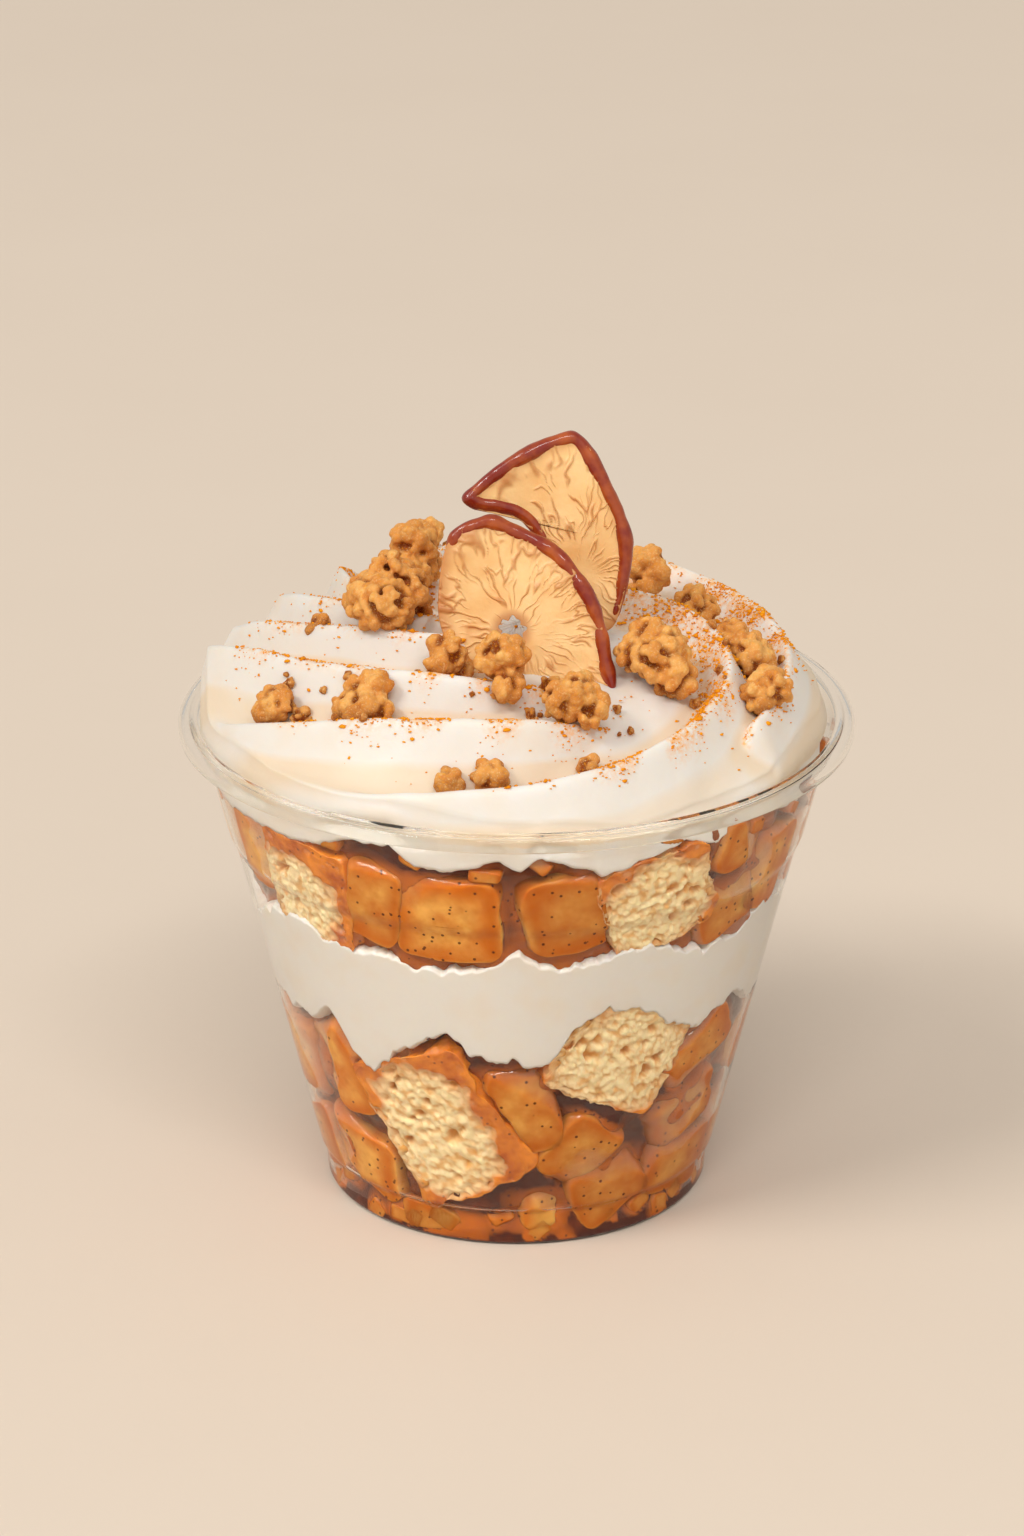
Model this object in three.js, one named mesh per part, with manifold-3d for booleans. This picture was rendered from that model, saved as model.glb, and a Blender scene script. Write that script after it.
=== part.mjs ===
// A layered shortcake dessert in a clear plastic cup: diced fruit in syrup with cake cubes, a band of cream,
// fruit and cake again, and a piped swirl of cream with crumble clusters and two dried fruit slices.
// Millimetres, +Z up, origin at the middle of the base. The front, as photographed, faces -Y.
// A bearing is measured in degrees from the front, growing towards +X.

import * as THREE from 'three';
import { mergeVertices } from 'three/addons/utils/BufferGeometryUtils.js';
import Module from 'manifold-3d';

const wasm = await Module();
wasm.setup();

// ---- Driving dimensions ----

// Cup: outer radius at each named height, a flat base and a rolled lip
const CUP = {
  wall: 0.5,
  floor: 0.6,
  footRound: 0.8,
  footRadius: 26.4,
  stepHeight: 5.2,
  stepTop: 6.0,
  stepRadius: 27.5,
  ledgeHeight: 51.2,
  ledgeTop: 52.6,
  ledgeRadius: 38.7,
  bandRadius: 39.5,
  creaseHeight: 63.6,
  creaseRadius: 42.3,
  throatHeight: 67.4,
  throatRadius: 43.6,
  lipRadius: 46,
  lipTop: 68.4,
  lipSkirt: 66.3,
  segments: 32,
};

// Space that each piece keeps to its neighbours
const GAP = 0.3;

// Food stays this much further from the wall, for straight edges that span its bends and its flats
const WALL_SLACK = 0.2;

// Levels of the fillings, as heights above the base
const LEVEL = {
  lowerFruit: 28.2,
  middleCream: 48.2,
  upperFruit: 61.2,
};
const LEVEL_WAVE = 1.1;
const PHASE = { lowerFruit: 0.4, middleCream: 2.1, upperFruit: 1.3 };

// The core of each fruit layer stays this far inside the wall, and its pieces fill the rest
const CORE_INSET = 4;

// Fruit pieces against the wall: bearing, height of the middle, width, height and turn in the wall's face
const LOWER_FRUIT = [
  [-48, 25.4, 11, 15, -24],
  [-48, 11.2, 13.5, 10.5, 18],
  [-26, 3.6, 12, 4.6, 6],
  [0, 22.6, 10.5, 14.5, -12],
  [17, 16, 10.5, 10.5, 40],
  [28, 8.2, 11.5, 10, -18],
  [5, 5.4, 6.5, 7.5, 8],
  [52, 18, 12, 9.5, -22],
  [51, 28.4, 13, 9, -28],
  [56, 8.6, 14, 8.5, 10],
  [79, 24.5, 11, 12, 15],
  [80, 11, 11, 11, -20],
];
const UPPER_FRUIT = [
  [-62, 57, 9.5, 13, 6],
  [-29, 55.4, 9, 13, 10],
  [-13, 53.6, 14.2, 13, 3],
  [8.8, 55.4, 12.2, 12.4, -14],
  [46, 60.8, 11, 8.5, 24],
  [47, 51.2, 11, 10.5, -12],
  [61, 54.6, 10.5, 13, 8],
  [80, 55, 11.5, 12, -10],
];
const LOWER_CAKE = [
  [-20, 20.3, 18.5, 24.5, -28],
  [25.5, 31.5, 20, 17, 26],
];
const UPPER_CAKE = [
  [-45.5, 55, 16, 16.5, 8],
  [29, 56.3, 17, 15.5, -14],
];
const FRUIT_DEPTH = 10;
const CAKE_DEPTH = 14;

// The hidden half repeats the shown half, this much further round
const BACK_BEARING = 180;

// Cream mound: a dome whose fall is a square near the top and a high power at its shoulder
const MOUND = {
  radius: 43,
  edgeRadius: 42.3,
  top: 80.8,
  fall: 11,
  shoulder: 6.5,
  shoulderPower: 8,
};

// The cream's edge stands this much further from the lip on the right
const EDGE_GAP = 1.1;

// Piped arms that wind in and up over the dome: bearing, radius and height of the crest at each knot
const ARMS = [
  [
    [-92, 43.4, 65], [-78, 42.2, 70], [-62, 40.6, 73.6], [-42, 36.4, 77.6],
    [-20, 33.4, 79.4], [5, 31, 78.9], [26, 28.5, 75.5],
  ],
  [
    [-44, 42.6, 69.6], [-16, 41, 72.2], [8, 39, 74], [36, 36, 76.4],
    [50, 34.2, 78.6], [60, 32.6, 80], [83, 25.5, 82.8], [110, 15.7, 84],
  ],
  [
    [-100, 43.2, 74.5], [-92, 40.8, 77.2], [-80, 36, 79.6], [-64, 32, 81.2],
    [-44, 28, 82.2], [-20, 24.5, 82.2], [4, 21, 80],
  ],
  [[-106, 40, 76], [-97, 35, 79.6], [-79, 25.8, 82.6], [-61, 20.9, 84], [-42, 17, 84.2], [-20, 13, 83]],
  [[-128, 41, 74], [-119, 37, 78.4], [-109, 31, 81.4], [-90, 22, 84], [-60, 13, 84.5]],
  [[-150, 41, 74], [-138, 36, 79], [-125, 29, 82], [-100, 19, 84.5]],
  [[-184, 41.5, 74], [-165, 37, 79], [-146, 29, 82.5], [-120, 18, 84.5]],
  [[145, 42, 73], [165, 38, 78], [190, 30, 82.5], [225, 17, 84.5]],
  [[56, 38.6, 75.5], [75, 37.4, 77], [100, 36, 78.2], [130, 34, 79.5], [160, 30, 82], [195, 22, 84]],
];

// An arm's section falls away from its crest: how far and over what reach, outwards and inwards
const ARM = {
  crestRound: 0.9,
  outDrop: 10,
  outReach: 4,
  outSlope: 0.15,
  inDrop: 4.6,
  inReach: 2.6,
  inSlope: 0.1,
  endDrop: 3,
  startTaper: 3,
  endTaper: 4,
  blend: 0.3,
};

// Crumble clusters on the cream: name, x, y, width, height and number of lumps
const CLUSTERS = [
  ['a', -17.4, -6.2, 14.2, 8.6, 7],
  ['b', -13.6, 7.5, 8.8, 10, 5],
  ['c', -32.2, -18.6, 6, 5.4, 4],
  ['d', -20, -24.5, 9, 6, 5],
  ['e', -9.2, -18.2, 6.8, 8.2, 5],
  ['f', -1.9, -22.4, 8, 7.4, 5],
  ['g', 7.6, -27.6, 9.4, 7.5, 5],
  ['h', 18.6, -14.2, 11, 8.6, 6],
  ['i', 18.4, 17, 7, 9, 5],
  ['j', 24.4, 9, 6.6, 6, 4],
  ['k', 29.2, 1, 5.4, 5.6, 4],
  ['l', 31.4, -6, 7.2, 6.4, 4],
  ['m', 33, -16.6, 6.6, 5.2, 4],
  ['n', 3, 18, 9, 7, 4],
  ['o', 8, 29, 7, 6, 4],
  ['p', -13.5, 33.5, 6.5, 4.5, 4],
  ['q', 17.5, 33, 6, 4.2, 4],
];

// Single crumbs fused to the cream: x, y and radius
const CRUMBS = [
  [-8.6, -37.4, 1.9],
  [-3.2, -37, 2.3],
  [9.4, -33.4, 1.5],
  [-26.6, -2.4, 1.7],
  [-28.5, -20.5, 1.4],
  [4.5, -20, 1.6],
];

// Dried fruit slices. An outline is a closed smooth curve in the slice's own plane, with the core at the
// origin, and the skin runs along a share of that curve.
const SLICE = { thick: 1.5, skinRadius: 1.05, outlineSteps: 15, skinSteps: 6, curl: 0.5 };
const FRONT_SLICE = {
  outline: [
    [12.8, -8.7], [13.4, -3.4], [11.6, 3.9], [6.8, 10.6], [0.4, 14.2], [-4, 15.3],
    [-8.9, 12.2], [-10.5, 3.8], [-9.2, -2.2], [-4.6, -9.2],
  ],
  skin: [0, 0.52],
  hole: 1.7,
  core: [-0.6, -12.8, 84.7],
  lean: 18,
  yaw: -3,
};
const BACK_SLICE = {
  outline: [
    [7.5, -14.4], [10.2, -6], [10, 0], [7.4, 6.4], [3.8, 12.3], [0, 12.4],
    [-6.4, 9.4], [-12.2, 4.9], [-11, 2.6], [-5, 0.8], [-1, -5], [3, -13],
  ],
  skin: [0, 0.8],
  hole: 0,
  core: [5.2, -2.4, 95.6],
  lean: 14,
  yaw: 5,
};

// ---- Materials ----

const MATERIAL = {
  cup: new THREE.MeshStandardMaterial({ color: 0xf2f4f4, roughness: 0.05, transparent: true, opacity: 0.3 }),
  fruit: new THREE.MeshStandardMaterial({ color: 0xc87f3a, roughness: 0.25, metalness: 0 }),
  cake: new THREE.MeshStandardMaterial({ color: 0xecd6a2, roughness: 0.9, metalness: 0 }),
  cream: new THREE.MeshStandardMaterial({ color: 0xfaf5ea, roughness: 0.45, metalness: 0 }),
  crumble: new THREE.MeshStandardMaterial({ color: 0xc98d4f, roughness: 0.85, metalness: 0 }),
  slice: new THREE.MeshStandardMaterial({ color: 0xdea96a, roughness: 0.5, metalness: 0 }),
};

// ---- Helpers ----

const FULL_TURN = Math.PI * 2;
const radians = THREE.MathUtils.degToRad;

function seededRandom(seed) {
  let state = seed;
  return () => {
    state = (state * 1664525 + 1013904223) % 4294967296;
    return state / 4294967296;
  };
}

function solidOf(geometry) {
  const bare = geometry.index ? geometry.toNonIndexed() : geometry.clone();
  bare.deleteAttribute('normal');
  bare.deleteAttribute('uv');
  const merged = mergeVertices(bare, 1e-4);
  const mesh = new wasm.Mesh({
    numProp: 3,
    vertProperties: new Float32Array(merged.attributes.position.array),
    triVerts: new Uint32Array(merged.index.array),
  });
  return new wasm.Manifold(mesh);
}

function union(solids) {
  return solids.reduce((total, solid) => total.add(solid));
}

function largestBody(solid) {
  const bodies = solid.decompose();
  return bodies.reduce((best, body) => (body.volume() > best.volume() ? body : best));
}

function meshOf(name, solid, material) {
  const result = solid.getMesh();
  const geometry = new THREE.BufferGeometry();
  geometry.setAttribute('position', new THREE.BufferAttribute(new Float32Array(result.vertProperties), 3));
  geometry.setIndex(new THREE.BufferAttribute(new Uint32Array(result.triVerts), 1));
  geometry.computeVertexNormals();
  const mesh = new THREE.Mesh(geometry, material);
  mesh.name = name;
  return mesh;
}

// A round solid whose outline changes with the bearing: outline(bearing, share) gives the radius and height
// for a share that runs from the top of the axis (0) to its bottom (1).
function turnedSolid(columns, rows, outline) {
  const geometry = new THREE.SphereGeometry(1, columns, rows);
  const position = geometry.attributes.position;
  const uv = geometry.attributes.uv;
  for (let index = 0; index < position.count; index += 1) {
    const row = Math.round((1 - uv.getY(index)) * rows);
    const column = Math.round((uv.getX(index) - (row === 0 || row === rows ? 0.5 / columns : 0)) * columns);
    const bearing = ((column % columns) / columns) * FULL_TURN;
    const atPole = row === 0 || row === rows;
    const [radius, height] = outline(atPole ? 0 : bearing, row / rows);
    const reach = atPole ? 0 : radius;
    position.setXYZ(index, reach * Math.sin(bearing), -reach * Math.cos(bearing), height);
  }
  return solidOf(geometry);
}

// ---- Cup ----

// Outer wall radius at a height, in straight stretches between the named rings
const WALL_RINGS = [
  [CUP.footRound, CUP.footRadius],
  [CUP.stepHeight, CUP.footRadius + 0.2],
  [CUP.stepTop, CUP.stepRadius],
  [CUP.ledgeHeight, CUP.ledgeRadius],
  [CUP.ledgeTop, CUP.bandRadius],
  [CUP.creaseHeight, CUP.creaseRadius],
  [CUP.throatHeight, CUP.throatRadius],
];

function wallRadius(height) {
  const last = WALL_RINGS.length - 1;
  const above = WALL_RINGS.findIndex(([ring]) => ring >= height);
  if (above === 0) return WALL_RINGS[0][1];
  if (above === -1) return WALL_RINGS[last][1];
  const [lowHeight, lowRadius] = WALL_RINGS[above - 1];
  const [highHeight, highRadius] = WALL_RINGS[above];
  return lowRadius + ((highRadius - lowRadius) * (height - lowHeight)) / (highHeight - lowHeight);
}

function innerRadius(height) {
  return wallRadius(height) - CUP.wall;
}

// The furthest that food reaches towards the wall
function foodRadius(height) {
  return innerRadius(height) - GAP - WALL_SLACK;
}

// The same for a piece's corner near the step, where an edge has to pass inside the step's corner
const STEP_SLOPE = 0.33;
const CORNER_SLACK = 0.15;
function cornerRadius(height) {
  const pastStep = foodRadius(CUP.stepHeight) + STEP_SLOPE * (height - CUP.stepHeight);
  return Math.min(foodRadius(height), pastStep) - CORNER_SLACK;
}

// Pulls a piece's corners in from the wall and up from the floor
function keptInside(geometry, grow) {
  const position = geometry.attributes.position;
  const lowest = CUP.floor + GAP - grow;
  for (let index = 0; index < position.count; index += 1) {
    const height = Math.max(position.getZ(index), lowest);
    const radius = Math.hypot(position.getX(index), position.getY(index));
    const shrink = Math.min(1, (cornerRadius(height) + grow) / radius);
    position.setXYZ(index, position.getX(index) * shrink, position.getY(index) * shrink, height);
  }
  return geometry;
}

function cupSolid() {
  const outline = [[0, 0], [CUP.footRadius - CUP.footRound, 0]];
  WALL_RINGS.forEach(([height, radius]) => outline.push([radius, height]));
  const lipMiddle = (CUP.throatRadius + CUP.lipRadius) / 2;
  outline.push([lipMiddle, CUP.lipTop - CUP.wall]);
  outline.push([CUP.lipRadius - CUP.wall * 1.4, CUP.throatHeight]);
  outline.push([CUP.lipRadius - CUP.wall, CUP.lipSkirt]);
  outline.push([CUP.lipRadius, CUP.lipSkirt]);
  outline.push([CUP.lipRadius - 0.2, CUP.throatHeight + 0.3]);
  outline.push([lipMiddle + 0.2, CUP.lipTop]);
  outline.push([CUP.throatRadius, CUP.lipTop - 0.1]);
  [...WALL_RINGS].reverse().forEach(([height, radius]) => outline.push([radius - CUP.wall, height + 0.1]));
  outline.push([CUP.footRadius - CUP.wall - CUP.footRound, CUP.floor]);
  outline.push([0, CUP.floor]);
  const lathe = new THREE.LatheGeometry(outline.map(([x, y]) => new THREE.Vector2(x, y)), CUP.segments);
  lathe.rotateX(Math.PI / 2);
  return solidOf(lathe);
}

// ---- Fruit and cake ----

// Places a piece modelled at the origin against the wall, its width along the wall and its depth inwards
function placeAtWall(geometry, bearing, height, depth, turn) {
  const slope = Math.atan2(CUP.ledgeRadius - CUP.stepRadius, CUP.ledgeHeight - CUP.stepTop);
  geometry.rotateY(radians(turn));
  geometry.rotateX(slope);
  geometry.translate(0, depth / 2 - foodRadius(height) - 0.6, height);
  geometry.rotateZ(radians(bearing));
  return geometry;
}

// A cut dice with slightly uneven corners
function diceGeometry(width, depth, tall, unevenness, seed) {
  const random = seededRandom(seed);
  const box = new THREE.BoxGeometry(width, depth, tall);
  const position = box.attributes.position;
  const shifts = new Map();
  for (let index = 0; index < position.count; index += 1) {
    const key = [position.getX(index) > 0, position.getY(index) > 0, position.getZ(index) > 0].join();
    if (!shifts.has(key)) {
      shifts.set(key, [0, 1, 2].map(() => 1 - unevenness * random()));
    }
    const [x, y, z] = shifts.get(key);
    position.setXYZ(index, position.getX(index) * x, position.getY(index) * y, position.getZ(index) * z);
  }
  return box;
}

// A torn cake cube: its corners are rounded and its faces are lumpy
function cakeGeometry(width, depth, tall, seed) {
  const random = seededRandom(seed);
  const roundness = 5;
  const cube = new THREE.BoxGeometry(2, 2, 2, 2, 2, 2);
  const merged = mergeVertices(stripped(cube), 1e-4);
  const position = merged.attributes.position;
  const point = new THREE.Vector3();
  for (let index = 0; index < position.count; index += 1) {
    point.fromBufferAttribute(position, index);
    const power = point.toArray().reduce((total, part) => total + Math.abs(part) ** roundness, 0);
    const scale = (1 - 0.07 * random()) / power ** (1 / roundness) / 2;
    position.setXYZ(index, point.x * scale * width, point.y * scale * depth, point.z * scale * tall);
  }
  return merged;
}

function stripped(geometry) {
  geometry.deleteAttribute('normal');
  geometry.deleteAttribute('uv');
  return geometry;
}

// Both halves of a layer: the shown pieces, and the same again at the back
function aroundCup(pieces) {
  return [0, BACK_BEARING].flatMap((more) => pieces.map((piece) => [piece[0] + more, ...piece.slice(1)]));
}

function fruitPieces(pieces, seed, grow) {
  return aroundCup(pieces).map(([bearing, height, width, tall, turn], index) => {
    const depth = FRUIT_DEPTH + 2 * grow;
    const dice = diceGeometry(width + 2 * grow, depth, tall + 2 * grow, 0.14, seed + index);
    return solidOf(keptInside(placeAtWall(dice, bearing, height, FRUIT_DEPTH, turn), grow));
  });
}

function cakePieces(pieces, seed, grow) {
  return aroundCup(pieces).map(([bearing, height, width, tall, turn], index) => {
    const depth = CAKE_DEPTH + 2 * grow;
    const cube = cakeGeometry(width + 2 * grow, depth, tall + 2 * grow, seed + index);
    return solidOf(keptInside(placeAtWall(cube, bearing, height, CAKE_DEPTH, turn), grow));
  });
}

function levelWave(bearing, phase) {
  return LEVEL_WAVE * (Math.sin(5 * bearing + phase) + 0.6 * Math.sin(11 * bearing + 2 * phase)) * 0.6;
}

// A layer between two wavy levels that stands an inset away from the wall. A flat bottom has no phase.
function layerSolid({ bottom, top, inset, bottomPhase, topPhase, columns }) {
  const topRows = 2;
  const sideRows = 3;
  const rows = topRows * 2 + sideRows;
  return turnedSolid(columns, rows, (bearing, share) => {
    const row = Math.round(share * rows);
    const high = top + levelWave(bearing, topPhase);
    const low = bottom + (bottomPhase === undefined ? 0 : levelWave(bearing, bottomPhase));
    if (row < topRows) {
      const outwards = row / topRows;
      return [(foodRadius(high) - inset) * outwards, top + (high - top) * outwards];
    }
    if (row > topRows + sideRows) {
      const outwards = (rows - row) / topRows;
      return [(foodRadius(low) - inset) * outwards, bottom + (low - bottom) * outwards];
    }
    const height = high + ((low - high) * (row - topRows)) / sideRows;
    return [foodRadius(height) - inset, height];
  });
}

// ---- Cream mound ----

const smoothStep = (edge0, edge1, value) => THREE.MathUtils.smoothstep(value, edge0, edge1);

// Smooth curve through one column of a table whose first column is the bearing
function between(rows, column, bearing) {
  const last = rows.length - 1;
  const at = THREE.MathUtils.clamp(bearing, rows[0][0], rows[last][0]);
  const upper = Math.max(1, rows.findIndex((row) => row[0] >= at));
  const lower = upper - 1;
  const slope = (index) => {
    const before = rows[Math.max(index - 1, 0)];
    const after = rows[Math.min(index + 1, last)];
    return (after[column] - before[column]) / (after[0] - before[0]);
  };
  const span = rows[upper][0] - rows[lower][0];
  const share = (at - rows[lower][0]) / span;
  const rise = share ** 2 * (3 - 2 * share);
  const leave = share * (1 - share) ** 2 * span * slope(lower);
  const arrive = share ** 2 * (share - 1) * span * slope(upper);
  return rows[lower][column] * (1 - rise) + rows[upper][column] * rise + leave + arrive;
}

// Height of one piped arm at a bearing and radius: its crest less the fall of its section, and less a steep
// fall before its first knot and past its last
function armHeight(arm, bearing, radius) {
  const first = arm[0][0];
  const span = arm[arm.length - 1][0] - first;
  const turned = THREE.MathUtils.euclideanModulo(bearing - first + 60, 360) - 60;
  const before = Math.max(0, -turned) * radians(1) * radius;
  const after = Math.max(0, turned - span) * radians(1) * radius;
  const offset = radius - between(arm, 1, first + turned);
  const away = Math.hypot(offset, ARM.crestRound) - ARM.crestRound;
  const outer = ARM.outDrop * (1 - Math.exp(-away / ARM.outReach)) + ARM.outSlope * away;
  const inner = ARM.inDrop * (1 - Math.exp(-away / ARM.inReach)) + ARM.inSlope * away;
  const ends = (before / ARM.startTaper) ** 2 + (after / ARM.endTaper) ** 2;
  return between(arm, 2, first + turned) - (offset > 0 ? outer : inner) - ARM.endDrop * ends;
}

function domeHeight(radius) {
  const share = Math.min(radius / MOUND.radius, 1);
  return MOUND.top - MOUND.fall * share ** 2 - MOUND.shoulder * share ** MOUND.shoulderPower;
}

// The larger of two heights, with the crease between them rounded
function blended(first, second) {
  const mix = THREE.MathUtils.clamp(0.5 + (first - second) / (4 * ARM.blend), 0, 1);
  return second + (first - second) * mix + 2 * ARM.blend * mix * (1 - mix);
}

function creamTop(x, y) {
  const radius = Math.hypot(x, y);
  const bearing = THREE.MathUtils.radToDeg(Math.atan2(x, -y));
  return ARMS.reduce((height, arm) => blended(height, armHeight(arm, bearing, radius)), domeHeight(radius));
}

// The cream from its lower edge at the wall, up the wall and over the swirl; grow adds to its top
function creamMound(grow) {
  const columns = 40;
  const topRows = 13;
  const sideRows = 2;
  const rows = topRows + sideRows + 2;
  return turnedSolid(columns, rows, (bearing, share) => {
    const row = Math.round(share * rows);
    const x = Math.sin(bearing);
    const y = -Math.cos(bearing);
    const wanted = MOUND.edgeRadius - EDGE_GAP * smoothStep(0.2, 1, x);
    const edgeRadius = Math.min(wanted, foodRadius(creamTop(x * wanted, y * wanted)));
    if (row <= topRows) {
      const radius = edgeRadius * (row / topRows);
      return [radius, creamTop(x * radius, y * radius) + grow];
    }
    const edge = creamTop(x * edgeRadius, y * edgeRadius) + grow;
    const low = LEVEL.upperFruit + GAP + levelWave(bearing, PHASE.upperFruit);
    if (row <= topRows + sideRows) {
      const height = edge + ((low - edge) * (row - topRows)) / sideRows;
      return [Math.min(edgeRadius, foodRadius(height)), height];
    }
    const outwards = (rows - row) / (rows - topRows - sideRows);
    const middle = LEVEL.upperFruit + GAP;
    return [foodRadius(low) * outwards, middle + (low - middle) * outwards];
  });
}

// ---- Crumble ----

function lump(x, y, z, radius, random) {
  const ball = new THREE.IcosahedronGeometry(radius, 0);
  ball.rotateX(random() * FULL_TURN);
  ball.rotateZ(random() * FULL_TURN);
  ball.translate(x, y, z);
  return solidOf(ball);
}

// Lumps packed in a low heap, widest at its foot, each lying on the cream or on lumps; grow swells them
function clusterSolid([, x, y, width, height, count], seed, grow) {
  const random = seededRandom(seed);
  const goldenAngle = 2.4;
  const lumpRadius = (0.5 * width) / Math.sqrt(count) + 0.35;
  const lumps = [];
  for (let index = 0; index < count; index += 1) {
    const share = (index + 0.3) / count;
    const reach = (width / 2 - lumpRadius * 0.9) * Math.sqrt(share);
    const angle = index * goldenAngle + seed;
    const lift = (height - lumpRadius * 2) * (1 - share) + lumpRadius;
    const radius = lumpRadius * (0.9 + 0.3 * random());
    const lumpX = x + reach * Math.cos(angle);
    const lumpY = y + reach * Math.sin(angle);
    lumps.push(lump(lumpX, lumpY, creamTop(lumpX, lumpY) + lift, radius + grow, random));
  }
  return union(lumps);
}

// ---- Dried slices ----

function curlHeight(x, y) {
  return SLICE.curl * (Math.sin(x * 0.26 + 0.6) * Math.cos(y * 0.2) + (x * x + y * y) * 0.004);
}

// A thin slice with a core hole and a roll of skin along its rind; grow swells it
function sliceSolid(slice, grow) {
  const corners = slice.outline.map(([x, y]) => new THREE.Vector3(x, y, 0).multiplyScalar(1 + grow / 12));
  const curve = new THREE.CatmullRomCurve3(corners, true);
  const edge = curve.getSpacedPoints(SLICE.outlineSteps).slice(0, -1);
  const shape = new THREE.Shape(edge.map((point) => new THREE.Vector2(point.x, point.y)));
  if (slice.hole > 0 && grow === 0) {
    const hole = new THREE.Path();
    hole.absarc(0, 0, slice.hole, 0, FULL_TURN, true);
    shape.holes.push(hole);
  }
  const thick = SLICE.thick + 2 * grow;
  const plate = new THREE.ExtrudeGeometry(shape, { depth: thick, bevelEnabled: false, curveSegments: 6 });
  plate.translate(0, 0, -thick / 2);
  const skinPoints = [];
  for (let step = 0; step <= SLICE.skinSteps; step += 1) {
    const share = slice.skin[0] + ((slice.skin[1] - slice.skin[0]) * step) / SLICE.skinSteps;
    skinPoints.push(curve.getPointAt(share).multiplyScalar(0.96));
  }
  const section = new THREE.Shape();
  section.absarc(0, 0, SLICE.skinRadius + grow, 0, FULL_TURN);
  const path = new THREE.CatmullRomCurve3(skinPoints);
  const settings = { steps: SLICE.skinSteps, extrudePath: path, curveSegments: 3 };
  const skin = new THREE.ExtrudeGeometry(section, settings);
  const placed = [plate, skin].map((geometry) => {
    const position = geometry.attributes.position;
    for (let index = 0; index < position.count; index += 1) {
      const curl = curlHeight(position.getX(index), position.getY(index));
      position.setZ(index, position.getZ(index) + curl);
    }
    geometry.rotateX(Math.PI / 2);
    geometry.rotateX(radians(-slice.lean));
    geometry.rotateZ(radians(slice.yaw));
    geometry.translate(...slice.core);
    return solidOf(geometry);
  });
  return placed[0].add(placed[1]);
}

// ---- Assembly ----

const SEED = { lowerFruit: 11, upperFruit: 47, lowerCake: 83, upperCake: 97, cluster: 131, crumb: 211 };

const object = new THREE.Group();
const add = (name, solid, material) => object.add(meshOf(name, largestBody(solid), material));

add('cup', cupSolid(), MATERIAL.cup);

// Cake cubes keep their whole shape, so the fruit and the cream are cut round them
const lowerCakes = cakePieces(LOWER_CAKE, SEED.lowerCake, 0);
const upperCakes = cakePieces(UPPER_CAKE, SEED.upperCake, 0);
const lowerCakeRoom = union(cakePieces(LOWER_CAKE, SEED.lowerCake, GAP));
const upperCakeRoom = union(cakePieces(UPPER_CAKE, SEED.upperCake, GAP));
lowerCakes.forEach((cake, index) => add(`cake_lower_${index + 1}`, cake, MATERIAL.cake));
upperCakes.forEach((cake, index) => add(`cake_upper_${index + 1}`, cake, MATERIAL.cake));

const lowerCore = layerSolid({
  bottom: CUP.floor + GAP,
  top: LEVEL.lowerFruit,
  topPhase: PHASE.lowerFruit,
  inset: CORE_INSET,
  columns: 24,
});
const upperCore = layerSolid({
  bottom: LEVEL.middleCream + GAP,
  top: LEVEL.upperFruit,
  bottomPhase: PHASE.middleCream,
  topPhase: PHASE.upperFruit,
  inset: CORE_INSET,
  columns: 24,
});
const band = layerSolid({
  bottom: LEVEL.lowerFruit + GAP,
  top: LEVEL.middleCream,
  bottomPhase: PHASE.lowerFruit,
  topPhase: PHASE.middleCream,
  inset: 0,
  columns: 30,
});

// A fruit layer is its core with the pieces that show fused on
const lowerPieces = union(fruitPieces(LOWER_FRUIT, SEED.lowerFruit, 0));
const upperPieces = union(fruitPieces(UPPER_FRUIT, SEED.upperFruit, 0));
const lowerPieceRoom = union(fruitPieces(LOWER_FRUIT, SEED.lowerFruit, GAP));
const upperPieceRoom = union(fruitPieces(UPPER_FRUIT, SEED.upperFruit, GAP));
add('fruit_lower', lowerCore.add(lowerPieces).subtract(lowerCakeRoom), MATERIAL.fruit);
add('fruit_upper', upperCore.add(upperPieces).subtract(upperCakeRoom), MATERIAL.fruit);

const bandRoom = union([lowerPieceRoom, lowerCakeRoom, upperPieceRoom, upperCakeRoom]);
add('cream_middle', band.subtract(bandRoom), MATERIAL.cream);

const crumbRandom = seededRandom(SEED.crumb);
const crumbs = CRUMBS.map(([x, y, radius]) => lump(x, y, creamTop(x, y) + radius * 0.6, radius, crumbRandom));
const mound = creamMound(0).subtract(upperPieceRoom).subtract(upperCakeRoom);
add('cream_top', union([mound, ...crumbs]), MATERIAL.cream);

// Slices stand in the cream, and crumble lies round them
const creamRoom = creamMound(GAP);
const frontRoom = sliceSolid(FRONT_SLICE, GAP);
const backRoom = sliceSolid(BACK_SLICE, GAP);
add('slice_front', sliceSolid(FRONT_SLICE, 0).subtract(creamRoom), MATERIAL.slice);
add('slice_back', sliceSolid(BACK_SLICE, 0).subtract(creamRoom).subtract(frontRoom), MATERIAL.slice);

let taken = union([creamRoom, frontRoom, backRoom]);
CLUSTERS.forEach((cluster, index) => {
  const seed = SEED.cluster + index;
  add(`crumble_${cluster[0]}`, clusterSolid(cluster, seed, 0).subtract(taken), MATERIAL.crumble);
  taken = taken.add(clusterSolid(cluster, seed, GAP));
});

export default object;
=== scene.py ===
"""Looks for a shortcake dessert in a clear cup: diced fruit in syrup, cake, cream, crumble and dried slices.

Sizes inside this file are millimetres until a piece is finished, and metres from then on. The front, as
photographed, faces -Y. A bearing is measured in degrees from the front, growing towards +X.
"""

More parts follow.
